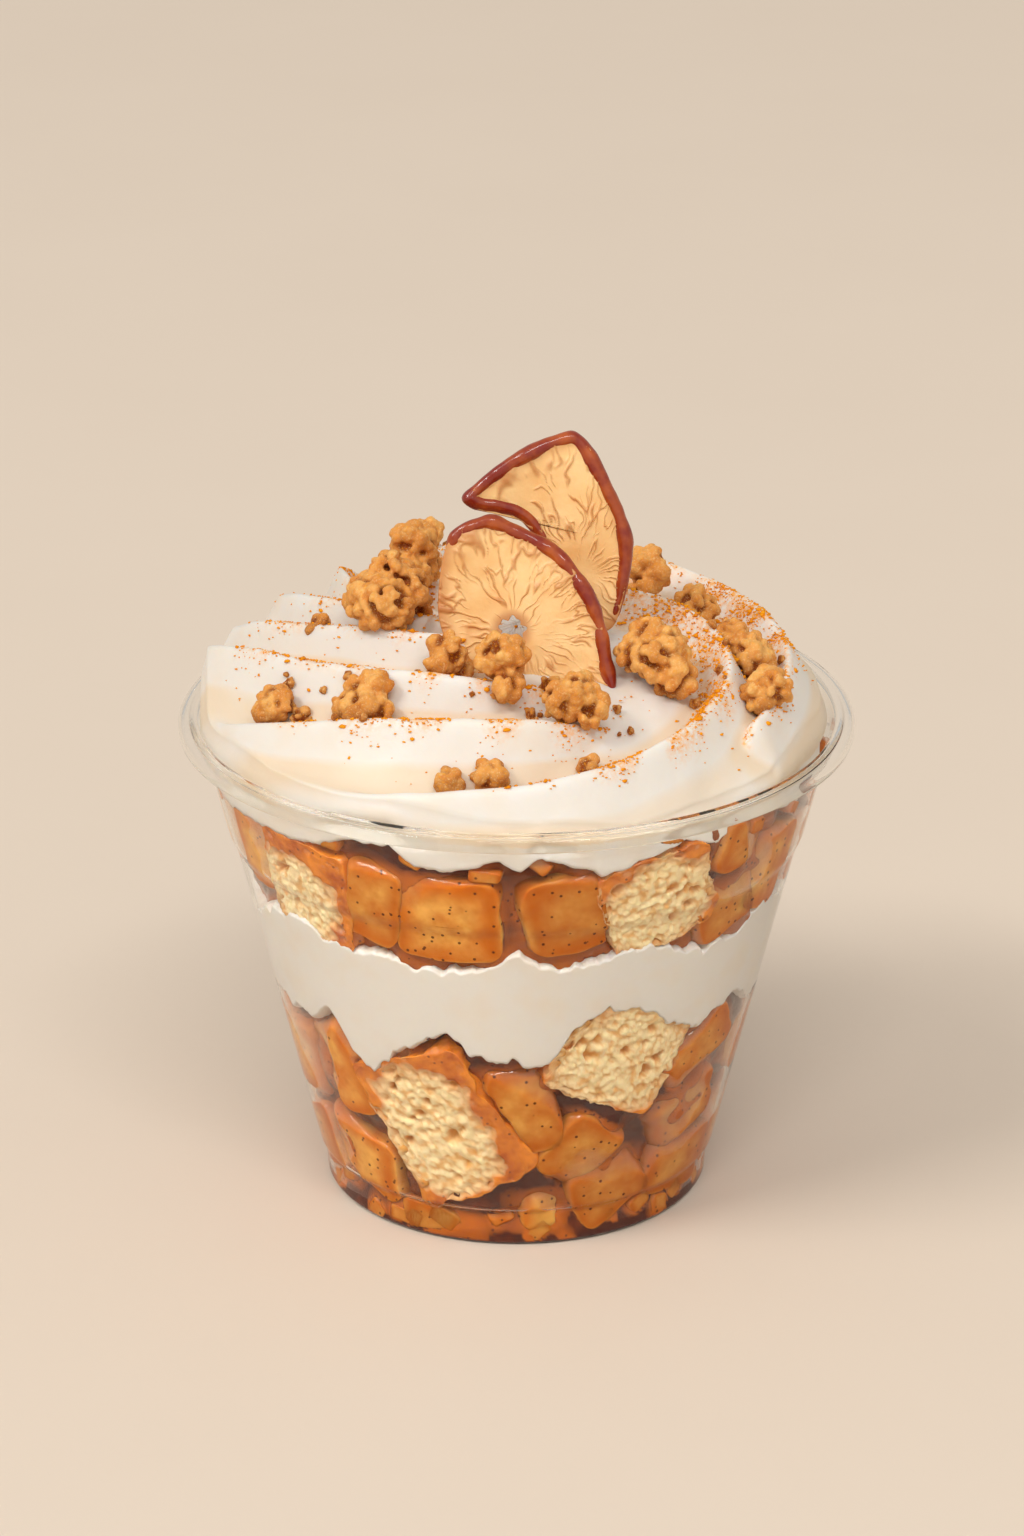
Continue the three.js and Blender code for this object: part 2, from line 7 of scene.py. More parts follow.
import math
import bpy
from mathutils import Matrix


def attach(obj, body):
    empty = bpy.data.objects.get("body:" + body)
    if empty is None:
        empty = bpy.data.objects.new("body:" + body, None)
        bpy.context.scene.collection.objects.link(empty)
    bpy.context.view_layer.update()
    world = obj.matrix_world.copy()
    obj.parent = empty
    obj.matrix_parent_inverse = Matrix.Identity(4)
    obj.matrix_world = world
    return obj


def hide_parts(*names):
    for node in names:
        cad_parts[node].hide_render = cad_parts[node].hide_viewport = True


bl_info = {
    "name": "Shortcake Dessert Cup",
    "version": (1, 0, 0),
    "blender": (4, 5, 0),
    "location": "3D View > Sidebar > Dessert",
    "description": "Dresses the solids of a layered shortcake dessert in a clear cup",
    "category": "Object",
}

import bmesh
import bpy
import numpy as np
from bpy.props import FloatProperty, FloatVectorProperty, IntProperty, PointerProperty
from bpy.types import Operator, Panel, PropertyGroup
from mathutils import Matrix, Vector
from mathutils.bvhtree import BVHTree

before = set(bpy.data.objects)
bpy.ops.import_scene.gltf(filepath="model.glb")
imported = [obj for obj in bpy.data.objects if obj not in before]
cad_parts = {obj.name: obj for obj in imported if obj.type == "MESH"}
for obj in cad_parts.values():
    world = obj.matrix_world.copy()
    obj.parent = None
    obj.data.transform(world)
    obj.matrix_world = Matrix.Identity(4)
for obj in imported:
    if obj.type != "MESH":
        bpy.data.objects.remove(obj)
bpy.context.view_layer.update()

MM = 0.001

# ---- Sizes of the solids, in millimetres ----

# Outer wall of the cup: height and radius of each ring
FOOT_RADIUS = 26.4
FOOT_ROUND = 0.8
WALL_RINGS = [
    (FOOT_ROUND, FOOT_RADIUS), (5.2, 26.6), (6.0, 27.5), (51.2, 38.7), (52.6, 39.5), (63.6, 42.3),
    (67.4, 43.6),
]
# Lean of the wall between the cup's two steps, which are its third and fourth rings
WALL_LEAN = math.atan2(WALL_RINGS[3][1] - WALL_RINGS[2][1], WALL_RINGS[3][0] - WALL_RINGS[2][0])
CUP_WALL = 0.5
CUP_FLOOR = 0.6
LIP_RADIUS = 46.0
LIP_TOP = 68.4
LIP_SKIRT = 66.3

# How far each filling reaches into the wall: the deepest one shows where two meet
INTO_WALL = {"syrup": 0.03, "fruit": 0.08, "cake": 0.14, "cream": 0.2}

# Pieces against the wall: bearing, height of the middle, width, height and turn in the wall's face. The last
# dice of each layer close its sides, where the solids only have their core.
LOWER_FRUIT = [
    (-48, 25.4, 11, 15, -24),
    (-48, 11.2, 13.5, 10.5, 18),
    (-26, 3.6, 12, 4.6, 6),
    (0, 22.6, 10.5, 14.5, -12),
    (17, 16, 10.5, 10.5, 40),
    (28, 8.2, 11.5, 10, -18),
    (5, 5.4, 6.5, 7.5, 8),
    (52, 18, 12, 9.5, -22),
    (51, 28.4, 13, 9, -28),
    (56, 8.6, 14, 8.5, 10),
    (79, 24.5, 11, 12, 15),
    (80, 11, 11, 11, -20),
    (-73, 24, 12, 13, 14),
    (-72, 9.5, 13, 11, -12),
]
UPPER_FRUIT = [
    (-62, 57, 9.5, 13, 6),
    (-29, 55.4, 9, 13, 10),
    (-13, 53.6, 14.2, 13, 3),
    (8.8, 55.4, 12.2, 12.4, -14),
    (46, 60.8, 11, 8.5, 24),
    (47, 51.2, 11, 10.5, -12),
    (61, 54.6, 10.5, 13, 8),
    (80, 55, 11.5, 12, -10),
    (-81, 56, 12, 12.5, -6),
]
LOWER_CAKE = [(-20, 20.3, 18.5, 24.5, -28), (25.5, 31.5, 20, 17, 26)]
UPPER_CAKE = [(-45.5, 55, 16, 16.5, 8), (29, 56.3, 17, 15.5, -14)]
# How dark each dice is, in the order of its table
LOWER_TONE = [0.05, 0.15, 0.9, 0.5, 0.55, 0.75, 0.4, 0.6, 0.5, 0.7, 0.4, 0.5, 0.3, 0.6]
UPPER_TONE = [0.3, 0.4, 0.2, 0.65, 0.5, 0.6, 0.3, 0.5, 0.5]
FRUIT_DEPTH = 10
CAKE_DEPTH = 14
# Dice and syrup are drawn in this far where a cake cube stands before them
BEHIND_CAKE = 5
# Dice are this much larger than their row in the table says, as their corners are round
DICE_SWELL = 1.07
HALF_TURN = 180

# Edges of the cream at the wall: bearing and height. The hidden half repeats the shown half.
BAND_LOWER = [
    (-90, 31), (-77.7, 30.7), (-54.3, 30.9), (-47.2, 34.2), (-41.9, 28.1), (-36.3, 25.5), (-29.5, 30.3),
    (-24, 31.7), (-20.2, 34.1), (-14.9, 34), (-10.3, 31.4), (-5.2, 30.2), (0.3, 30.6), (5.8, 28.8),
    (9.6, 31.3), (12, 34.6), (16.7, 36.3), (20.5, 38.2), (28.3, 37.6), (36.8, 33.9), (46.5, 31.5),
    (54.3, 34.1), (61.4, 33.4), (70.6, 30.6), (90, 31),
]
BAND_UPPER = [
    (-90, 44.6), (-74.4, 43.4), (-60.8, 47.4), (-50.5, 47.9), (-43, 46.4), (-35.9, 46.2), (-25.4, 46.9),
    (-15.6, 45), (-4.5, 46.9), (0.3, 49.4), (3.5, 47.4), (8.8, 46.8), (17, 46.8), (20.9, 48.4), (27.4, 48.8),
    (40.4, 45.4), (53.5, 45.8), (60.9, 48.2), (90, 44.6),
]
SWIRL_LOWER = [
    (-90, 61), (-64.9, 60.1), (-52.1, 60.5), (-40.5, 61), (-31.8, 63.5), (-23.7, 64.1), (-18.5, 60.8),
    (-12, 60.6), (-2.9, 62.9), (0.6, 61.3), (4.1, 63.8), (7.7, 62.7), (17, 60.1), (22.6, 61.4), (32.3, 63.4),
    (39.7, 61.2), (46, 64.4), (64, 61.5), (90, 61),
]
# Tops of the syrup, and the hidden middles of the band's two faces and of the swirl's underside
FRUIT_LEVEL = {"lower": 34.5, "upper": 64.5}
BAND_MIDDLE = (29.0, 47.0)
SWIRL_BOTTOM = 62.0
# The swirl counts as its top above this height, and cinnamon and crumbs stay inside these radii
SWIRL_TOP_FROM = 66
CINNAMON_RADIUS = 40.5
CRUMB_RADIUS = 39.5

# Cream mound and its piped arms: bearing, radius and height of the crest at each knot
MOUND = {"radius": 43, "edge": 42.3, "top": 80.8, "fall": 11, "shoulder": 6.5, "power": 8, "edge_gap": 1.1}
ARMS = [
    [(-92, 43.4, 65), (-78, 42.2, 70), (-62, 40.6, 73.6), (-42, 36.4, 77.6), (-20, 33.4, 79.4), (5, 31, 78.9),
     (26, 28.5, 75.5)],
    [(-44, 42.6, 69.6), (-16, 41, 72.2), (8, 39, 74), (36, 36, 76.4), (50, 34.2, 78.6), (60, 32.6, 80),
     (83, 25.5, 82.8), (110, 15.7, 84)],
    [(-100, 43.2, 74.5), (-92, 40.8, 77.2), (-80, 36, 79.6), (-64, 32, 81.2), (-44, 28, 82.2),
     (-20, 24.5, 82.2), (4, 21, 80)],
    [(-106, 40, 76), (-97, 35, 79.6), (-79, 25.8, 82.6), (-61, 20.9, 84), (-42, 17, 84.2), (-20, 13, 83)],
    [(-128, 41, 74), (-119, 37, 78.4), (-109, 31, 81.4), (-90, 22, 84), (-60, 13, 84.5)],
    [(-150, 41, 74), (-138, 36, 79), (-125, 29, 82), (-100, 19, 84.5)],
    [(-184, 41.5, 74), (-165, 37, 79), (-146, 29, 82.5), (-120, 18, 84.5)],
    [(145, 42, 73), (165, 38, 78), (190, 30, 82.5), (225, 17, 84.5)],
    [(56, 38.6, 75.5), (75, 37.4, 77), (100, 36, 78.2), (130, 34, 79.5), (160, 30, 82), (195, 22, 84)],
]
ARM = {
    "crest": 0.9, "out_drop": 10, "out_reach": 4, "out_slope": 0.15, "in_drop": 4.6, "in_reach": 2.6,
    "in_slope": 0.1, "end_drop": 3, "start_taper": 3, "end_taper": 4, "blend": 0.3,
}

# Crumble clusters on the cream: name, x, y, width, height and number of lumps
CLUSTERS = [
    ("a", -17.4, -6.2, 14.2, 8.6, 7),
    ("b", -13.6, 7.5, 8.8, 10, 5),
    ("c", -32.2, -18.6, 6, 5.4, 4),
    ("d", -20, -24.5, 9, 6, 5),
    ("e", -9.2, -18.2, 6.8, 8.2, 5),
    ("f", -1.9, -22.4, 8, 7.4, 5),
    ("g", 7.6, -27.6, 9.4, 7.5, 5),
    ("h", 18.6, -14.2, 11, 8.6, 6),
    ("i", 18.4, 17, 7, 9, 5),
    ("j", 24.4, 9, 6.6, 6, 4),
    ("k", 29.2, 1, 5.4, 5.6, 4),
    ("l", 31.4, -6, 7.2, 6.4, 4),
    ("m", 33, -16.6, 6.6, 5.2, 4),
    ("n", 3, 18, 9, 7, 4),
    ("o", 8, 29, 7, 6, 4),
    ("p", -13.5, 33.5, 6.5, 4.5, 4),
    ("q", 17.5, 33, 6, 4.2, 4),
]
CRUMBS = [
    (-8.6, -37.4, 1.9),
    (-3.2, -37, 2.3),
    (9.4, -33.4, 1.5),
    (-26.6, -2.4, 1.7),
    (-28.5, -20.5, 1.4),
    (4.5, -20, 1.6),
]

# Dried slices: outline about the core, share of it that carries skin, middle of the fan, place and lean
SLICE_THICK = 1.4
SLICE_CURL = 0.5
SKIN_INSET = 1.1
FRONT_SLICE = {
    "outline": [(12.8, -8.7), (13.4, -3.4), (11.6, 3.9), (6.8, 10.6), (0.4, 14.2), (-4, 15.3), (-8.9, 12.2),
                (-10.5, 3.8), (-9.2, -2.2), (-4.6, -9.2)],
    "skin": (0, 0.52), "hole": 1.7, "middle": (0, 0), "fan": (0, 0),
    "core": (-0.6, -12.8, 84.7), "lean": 18, "yaw": -3,
}
BACK_SLICE = {
    "outline": [(7.5, -14.4), (10.2, -6), (10, 0), (7.4, 6.4), (3.8, 12.3), (0, 12.4), (-6.4, 9.4),
                (-12.2, 4.9), (-11, 2.6), (-5, 0.8), (-1, -5), (3, -13)],
    "skin": (0, 0.8), "hole": 0, "middle": (3.5, -1), "fan": (3.2, -6.5),
    "core": (5.2, -2.4, 95.6), "lean": 14, "yaw": 5,
}

# First seeds of what is drawn at random
SEED = {
    "lower_fruit": 11, "upper_fruit": 47, "lower_cake": 83, "upper_cake": 97, "cluster": 131, "loose": 7,
    "crumb": 300, "flakes": 42, "front_slice": 3, "back_slice": 8,
}
# A full turn for random angles, the turn that spreads points evenly round, and the food's mean radius
FULL_TURN = 6.3
GOLDEN_TURN = 2.4
MEAN_RADIUS = 33

# The photograph's camera
CAMERA = {"elevation": 22.15, "distance": 800, "aim": (-0.609, 0, 59.68), "lens": 137.3}


def srgb(red, green, blue):
    """Linear colour of an 8-bit display colour."""
    shares = [channel / 255 for channel in (red, green, blue)]
    return tuple(s / 12.92 if s <= 0.04045 else ((s + 0.055) / 1.055) ** 2.4 for s in shares)


# ---- Settings ----

def colour_setting(name, description, default):
    return FloatVectorProperty(
        name=name, description=description, default=default, subtype="COLOR", min=0, max=1,
    )


def amount_setting(name, description, default, low=0):
    return FloatProperty(name=name, description=description, default=default, min=low)


class CupSettings(PropertyGroup):
    tint: colour_setting("Tint", "Colour of the clear wall", srgb(252, 252, 250))
    roughness: FloatProperty(name="Roughness", description="Haze of the wall", default=0.0, min=0, max=1)
    segments: IntProperty(name="Segments", description="Flats round the wall", default=160, min=24)


class CreamSettings(PropertyGroup):
    colour: colour_setting("Colour", "Whipped cream", srgb(232, 227, 219))
    # Painted shade: a warmer, darker cream mixed into folds, creases and valleys; the random mottle uses it
    # too
    fold_shade: colour_setting("Crease", "Cream in a fold", srgb(232, 205, 168))
    ripple: amount_setting("Ripple", "Unevenness of the surface, in mm", 0.22)


class FruitSettings(PropertyGroup):
    colour: colour_setting("Colour", "Outside of a cooked dice", srgb(214, 112, 8))
    pale: colour_setting("Pale", "Middle of a dice's face", srgb(252, 190, 92))
    syrup: colour_setting("Syrup", "Deep syrup", srgb(74, 18, 0))
    rounding: amount_setting("Rounding", "Radius of a dice's edges, in mm", 2.4, 0.1)


class CakeSettings(PropertyGroup):
    crumb: colour_setting("Crumb", "Raised crumb", srgb(255, 230, 178))
    # Painted shade: the darker golden colour put into the bottoms of pits and crevices
    pit: colour_setting("Pit", "Bottom of a pit", srgb(222, 156, 74))
    crust: colour_setting("Crust", "Browned and soaked edge", srgb(204, 122, 44))
    pit_depth: amount_setting("Pit depth", "Depth of the pits, in mm", 1.3)


class CrumbleSettings(PropertyGroup):
    colour: colour_setting("Colour", "Baked crumble", srgb(252, 190, 108))
    # Painted shade: the dark brown put into the hollows, deep among the grains and at the foot of each
    # cluster
    dark: colour_setting("Dark", "Browned hollows", srgb(138, 58, 8))
    voxel: amount_setting("Voxel", "Size that lumps are fused at, in mm", 0.25, 0.1)


class SliceSettings(PropertyGroup):
    flesh: colour_setting("Flesh", "Dried flesh", srgb(252, 208, 144))
    # The vein colour is partly the wrinkles' own colour and partly painted shade along their relief
    vein: colour_setting("Vein", "Wrinkles of the flesh", srgb(190, 110, 44))
    skin: colour_setting("Skin", "Dried skin", srgb(134, 36, 16))


class CinnamonSettings(PropertyGroup):
    colour: colour_setting("Colour", "Ground cinnamon", srgb(246, 164, 30))
    flakes: IntProperty(name="Flakes", description="Number of flakes", default=9500, min=0)


class StageSettings(PropertyGroup):
    floor: colour_setting("Floor", "Plain ground", srgb(226, 209, 190))
    key: amount_setting("Key light", "Strength of the sun", 0.6)
    front: amount_setting("Front light", "Strength of the wide light from the front", 0.4)
    fill: amount_setting("Fill light", "Strength of the surroundings", 0.52)


# ---- Meshes ----

def read_rows(items, field):
    """One row of three numbers for each item."""
    rows = np.empty(len(items) * 3)
    items.foreach_get(field, rows)
    return rows.reshape(-1, 3)


def read_points(mesh):
    return read_rows(mesh.vertices, "co")


def read_normals(mesh):
    return read_rows(mesh.vertex_normals, "vector")


def write_points(mesh, points):
    mesh.vertices.foreach_set("co", np.ascontiguousarray(points, float).ravel())
    mesh.update()


def swelled(mesh, points, shift):
    """Points moved out along the mesh's normals, each by its own shift."""
    return points + shift[:, None] * read_normals(mesh)


def paint(mesh, name, values):
    """Keeps one value a vertex under a name that materials read."""
    layer = mesh.attributes.get(name) or mesh.attributes.new(name, "FLOAT", "POINT")
    layer.data.foreach_set("value", np.asarray(values, np.float32))


def mesh_from(bm, name):
    mesh = bpy.data.meshes.new(name)
    bm.to_mesh(mesh)
    bm.free()
    return mesh


def joined(name, meshes):
    """One mesh of several, with the values painted on them."""
    bm = bmesh.new()
    for mesh in meshes:
        bm.from_mesh(mesh)
        bpy.data.meshes.remove(mesh)
    return mesh_from(bm, name)


def linked(name, data):
    """A new object in the scene's own collection."""
    holder = bpy.data.objects.new(name, data)
    bpy.context.scene.collection.objects.link(holder)
    return holder


def finished(mesh, material, nodes):
    """Turns a mesh in millimetres into a piece in metres that stands for its CAD nodes."""
    write_points(mesh, read_points(mesh) * MM)
    mesh.polygons.foreach_set("use_smooth", [True] * len(mesh.polygons))
    mesh.materials.clear()
    mesh.materials.append(material)
    piece = linked(mesh.name, mesh)
    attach(piece, "root")
    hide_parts(*nodes)
    return piece


def crevices(mesh):
    """How hollow each vertex lies among its neighbours: above 0 in a crease and below 0 on a ridge."""
    points = read_points(mesh)
    edges = np.empty(len(mesh.edges) * 2, int)
    mesh.edges.foreach_get("vertices", edges)
    first, second = edges.reshape(-1, 2).T
    total = np.zeros_like(points)
    count = np.zeros(len(points))
    for one, other in ((first, second), (second, first)):
        np.add.at(total, one, points[other])
        np.add.at(count, one, 1)
    away = total / np.maximum(count, 1)[:, None] - points
    length = np.linalg.norm(points[first] - points[second], axis=1).mean()
    hollow = (away * read_normals(mesh)).sum(axis=1) / length
    for _ in range(2):
        total = np.zeros(len(points))
        np.add.at(total, first, hollow[second])
        np.add.at(total, second, hollow[first])
        hollow = 0.5 * hollow + 0.5 * total / np.maximum(count, 1)
    return hollow


def around(bearing, radius, height):
    turn = np.radians(bearing)
    return np.stack([radius * np.sin(turn), -radius * np.cos(turn), height + 0 * turn], axis=1)


def wrapped_grid(name, columns, rows, place):
    """A closed skin from a grid whose seams are merged. place(u, v) gives the points, u round and v along."""
    bm = bmesh.new()
    bmesh.ops.create_grid(bm, x_segments=columns, y_segments=rows, size=0.5)
    mesh = mesh_from(bm, name)
    points = read_points(mesh)
    write_points(mesh, place(points[:, 0] + 0.5, points[:, 1] + 0.5))
    bm = bmesh.new()
    bm.from_mesh(mesh)
    bmesh.ops.remove_doubles(bm, verts=bm.verts, dist=1e-3)
    bmesh.ops.recalc_face_normals(bm, faces=bm.faces)
    bm.to_mesh(mesh)
    bm.free()
    return mesh


def turned_body(name, columns, rows, outline):
    """A closed round body. outline(bearing, row) gives the radius and height for bearings in degrees and rows
    from the top of the axis, 0, to its bottom."""
    def place(u, v):
        row = np.round(v * rows)
        bearing = np.where((row == 0) | (row == rows), 0, u * 360 - 180)
        radius, height = outline(bearing, row)
        return around(bearing, np.where((row == 0) | (row == rows), 0, radius), height)

    return wrapped_grid(name, columns, rows, place)


def rounded_box(name, size, rounding, cuts, unevenness, seed):
    """A box with round edges and slightly uneven corners, in a fine grid."""
    bm = bmesh.new()
    bmesh.ops.create_cube(bm, size=1)
    bmesh.ops.subdivide_edges(bm, edges=bm.edges, cuts=cuts, use_grid_fill=True)
    mesh = mesh_from(bm, name)
    half = np.array(size) / 2
    points = read_points(mesh) * size
    core = np.clip(points, rounding - half, half - rounding)
    away = points - core
    points = core + rounding * away / np.maximum(np.linalg.norm(away, axis=1), 1e-9)[:, None]
    random = np.random.default_rng(seed)
    pulls = 1 + unevenness * (0.3 - random.random((2, 2, 2, 3)))
    share = points / (2 * half) + 0.5
    factor = np.zeros_like(points)
    for corner in np.ndindex(2, 2, 2):
        weight = np.prod(np.where(corner, share, 1 - share), axis=1)
        factor += weight[:, None] * pulls[corner]
    write_points(mesh, points * factor)
    return mesh


def hashed(cells, seed):
    """Three even random shares for each whole cell."""
    x, y, z = np.moveaxis(cells.astype(np.int64), -1, 0)
    mixed = (x * 73856093) ^ (y * 19349663) ^ (z * 83492791) ^ (seed * 7919 + 17)
    shares = []
    for part in (1, 2, 3):
        word = (mixed + part * 0x9E3779B9) & 0xFFFFFFFF
        word = ((word ^ (word >> 15)) * 0x2C1B3C6D) & 0xFFFFFFFF
        word = ((word ^ (word >> 12)) * 0x297A2D39) & 0xFFFFFFFF
        shares.append((word ^ (word >> 15)) / 0xFFFFFFFF)
    return np.stack(shares, axis=-1)


def noise_at(points, size, seed):
    """Smooth noise from about -1 to 1 with features of a size in millimetres."""
    at = points / size + 0.37
    cell = np.floor(at)
    share = at - cell
    rise = share * share * (3 - 2 * share)
    total = np.zeros(len(at))
    for corner in np.ndindex(2, 2, 2):
        weight = np.prod(np.where(corner, rise, 1 - rise), axis=1)
        slope = hashed(cell + corner, seed) - 0.5
        total += weight * (slope * (share - corner)).sum(axis=1)
    return total * 3.2


def cells_at(points, size, seed):
    """For scattered points a size in millimetres apart: how far the nearest one is, as a share of that size,
    and a random share that belongs to it."""
    at = points / size
    cell = np.floor(at)
    near, own = np.full(len(at), 9.0), np.zeros(len(at))
    for shift in np.ndindex(3, 3, 3):
        other = cell + shift - 1
        away = np.linalg.norm(other + hashed(other, seed) - at, axis=1)
        own = np.where(away < near, hashed(other, seed + 991)[:, 0], own)
        near = np.minimum(near, away)
    return near, own


def waves(bearing, height, size, seed):
    """Quick unevenness from -1 to 1 on the wall, without a seam."""
    random = np.random.default_rng(seed)
    turn = np.radians(bearing)
    total = 0
    for _ in range(7):
        lobes = round(random.uniform(0.5, 1.6) * 2 * math.pi * MEAN_RADIUS / size)
        climb = random.uniform(0.4, 1.6) * height * FULL_TURN / size
        total = total + np.sin(lobes * turn + climb + random.uniform(0, FULL_TURN))
    return total / 7 * 1.6


# ---- Cup and food against its wall ----

def wall_radius(height):
    heights, radii = zip(*WALL_RINGS)
    return np.interp(height, heights, radii)


def inner_radius(height):
    return wall_radius(height) - CUP_WALL


def bearing_of(points):
    """Bearing of each point in degrees."""
    return np.degrees(np.arctan2(points[:, 0], -points[:, 1]))


def smooth_step(low, high, value):
    share = np.clip((value - low) / (high - low), 0, 1)
    return share * share * (3 - 2 * share)


def wall_depth(points):
    """How far each point lies inside the wall's inner face."""
    return inner_radius(points[:, 2]) - np.hypot(points[:, 0], points[:, 1])


def place_at_wall(points, bearing, height, depth, turn, push):
    """Puts a piece modelled at the origin against the wall, pushed out towards it."""
    out = inner_radius(height) + push - depth / 2
    matrix = (
        Matrix.Rotation(math.radians(bearing), 3, "Z")
        @ Matrix.Rotation(WALL_LEAN, 3, "X")
        @ Matrix.Rotation(math.radians(turn), 3, "Y")
    )
    shift = Matrix.Rotation(math.radians(bearing), 3, "Z") @ Vector((0, -out, height))
    return points @ np.array(matrix).T + np.array(shift)


def kept_inside(points, into):
    """Points pulled in to the wall's inner face and up to the floor, reaching into both by a little."""
    points = points.copy()
    points[:, 2] = np.maximum(points[:, 2], CUP_FLOOR - 0.1)
    radius = np.hypot(points[:, 0], points[:, 1])
    shrink = np.minimum(1, (inner_radius(points[:, 2]) + into) / np.maximum(radius, 1e-9))
    points[:, :2] *= shrink[:, None]
    return points


def both_halves(table):
    return [(row[0] + more, *row[1:]) for more in (0, HALF_TURN) for row in table]


def behind_cake(points, table):
    """How far the food behind a cake cube is drawn in, for points at the wall."""
    bearing = bearing_of(points)
    radius = inner_radius(points[:, 2])
    ragged = 0.9 * noise_at(points, 2.4, 71)
    share = np.zeros(len(points))
    for middle, height, width, tall, turn in both_halves(table):
        across = np.radians((bearing - middle + 180) % 360 - 180) * radius
        up = points[:, 2] - height
        turned = math.radians(turn)
        side = np.abs(across * math.cos(turned) - up * math.sin(turned))
        rise = np.abs(across * math.sin(turned) + up * math.cos(turned))
        inside = np.minimum(width / 2 - side, tall / 2 - rise)
        share = np.maximum(share, smooth_step(0.2, 2.4, inside + ragged))
    return BEHIND_CAKE * share


def layer_parts(row, top_rows, side_rows):
    """Shares of the rows of a layer: down its side, out along its top and in along its bottom, and a way to
    choose between values for the three."""
    rows = 2 * top_rows + side_rows
    above, below = row < top_rows, row > top_rows + side_rows

    def chosen(top, side, bottom):
        return np.where(above, top, np.where(below, bottom, side))

    return (np.clip((row - top_rows) / side_rows, 0, 1), np.clip(row / top_rows, 0, 1),
            np.clip((rows - row) / top_rows, 0, 1), chosen)


def edge_height(table, bearing):
    """Height of a ragged edge at a bearing; the hidden half repeats the shown half."""
    at = (bearing + 90) % 180 - 90
    return np.interp(at, [row[0] for row in table], [row[1] for row in table])


# ---- Material parts ----

class Shader:
    """A material's node tree, with short calls for the nodes that the finishes need."""

    def __init__(self, name):
        self.material = bpy.data.materials.new(name)
        self.material.use_nodes = True
        self.tree = self.material.node_tree
        self.principled = self.tree.nodes["Principled BSDF"]
        self.output = self.tree.nodes["Material Output"]

    def feed(self, socket, value):
        """Links a socket to another node's output, or sets its value."""
        if isinstance(value, bpy.types.NodeSocket):
            self.tree.links.new(value, socket)
        elif socket.type == "RGBA" and len(value) == 3:
            socket.default_value = (*value, 1)
        else:
            socket.default_value = value

    def set(self, **values):
        for name, value in values.items():
            self.feed(self.principled.inputs[name.replace("_", " ")], value)

    def put(self, kind, inputs=None, **settings):
        node = self.tree.nodes.new(kind)
        for name, value in settings.items():
            setattr(node, name, value)
        for name, value in (inputs or {}).items():
            self.feed(node.inputs[name], value)
        return node

    def place(self):
        return self.put("ShaderNodeTexCoord").outputs["Object"]

    def painted(self, name):
        return self.put("ShaderNodeAttribute", attribute_name=name).outputs["Fac"]

    def noise(self, size, detail=3.0, roughness=0.55):
        inputs = {"Vector": self.place(), "Scale": 1 / (size * MM), "Detail": detail, "Roughness": roughness}
        return self.put("ShaderNodeTexNoise", inputs).outputs["Fac"]

    def ramp(self, value, low, high):
        """Value stretched straight between two (position, value) stops and held outside them."""
        inputs = {
            "Value": value, "From Min": low[0], "From Max": high[0], "To Min": low[1], "To Max": high[1],
        }
        return self.put("ShaderNodeMapRange", inputs, clamp=True).outputs["Result"]

    def patches(self, size, detail, low, high):
        """Soft patches of a size in millimetres, ramped between two stops."""
        return self.ramp(self.noise(size, detail), low, high)

    def math(self, operation, first, second):
        node = self.put("ShaderNodeMath", operation=operation, use_clamp=operation in ("MULTIPLY", "ADD"))
        for socket, value in zip(node.inputs, (first, second)):
            self.feed(socket, value)
        return node.outputs[0]

    def times(self, first, second):
        return self.math("MULTIPLY", first, second)

    def mix(self, share, first, second):
        node = self.put("ShaderNodeMix", data_type="RGBA")
        for index, value in ((0, share), (6, first), (7, second)):
            self.feed(node.inputs[index], value)
        return node.outputs[2]

    def bump(self, height, strength, distance):
        inputs = {"Height": height, "Strength": strength, "Distance": distance * MM}
        return self.put("ShaderNodeBump", inputs).outputs["Normal"]

    def group(self, tree, **inputs):
        return self.put("ShaderNodeGroup", inputs, node_tree=tree).outputs[0]


def soft(weight, reach, scale):
    """Settings for light that sinks into food: how much, how far each colour goes, and the scale in mm."""
    return {"Subsurface_Weight": weight, "Subsurface_Radius": reach, "Subsurface_Scale": scale * MM}


def specks_group():
    """Node group: a mask of small round specks, by the scale of their cells, their radius and share."""
    tree = bpy.data.node_groups.get("specks")
    if tree:
        return tree
    tree = bpy.data.node_groups.new("specks", "ShaderNodeTree")
    for name, default in (("Cells", 700.0), ("Radius", 0.16), ("Share", 0.3)):
        socket = tree.interface.new_socket(name=name, in_out="INPUT", socket_type="NodeSocketFloat")
        socket.default_value = default
    tree.interface.new_socket(name="Mask", in_out="OUTPUT", socket_type="NodeSocketFloat")
    nodes, links = tree.nodes, tree.links
    entry, leave = nodes.new("NodeGroupInput"), nodes.new("NodeGroupOutput")
    place, cells = nodes.new("ShaderNodeTexCoord"), nodes.new("ShaderNodeTexVoronoi")
    parts = nodes.new("ShaderNodeSeparateColor")

    def worked_out(operation, first, second):
        node = nodes.new("ShaderNodeMath")
        node.operation = operation
        links.new(first, node.inputs[0])
        links.new(second, node.inputs[1])
        return node.outputs[0]

    links.new(place.outputs["Object"], cells.inputs["Vector"])
    links.new(entry.outputs["Cells"], cells.inputs["Scale"])
    links.new(cells.outputs["Color"], parts.inputs["Color"])
    near = worked_out("LESS_THAN", cells.outputs["Distance"], entry.outputs["Radius"])
    chosen = worked_out("LESS_THAN", parts.outputs["Red"], entry.outputs["Share"])
    links.new(worked_out("MULTIPLY", near, chosen), leave.inputs["Mask"])
    return tree


# ---- Cup ----

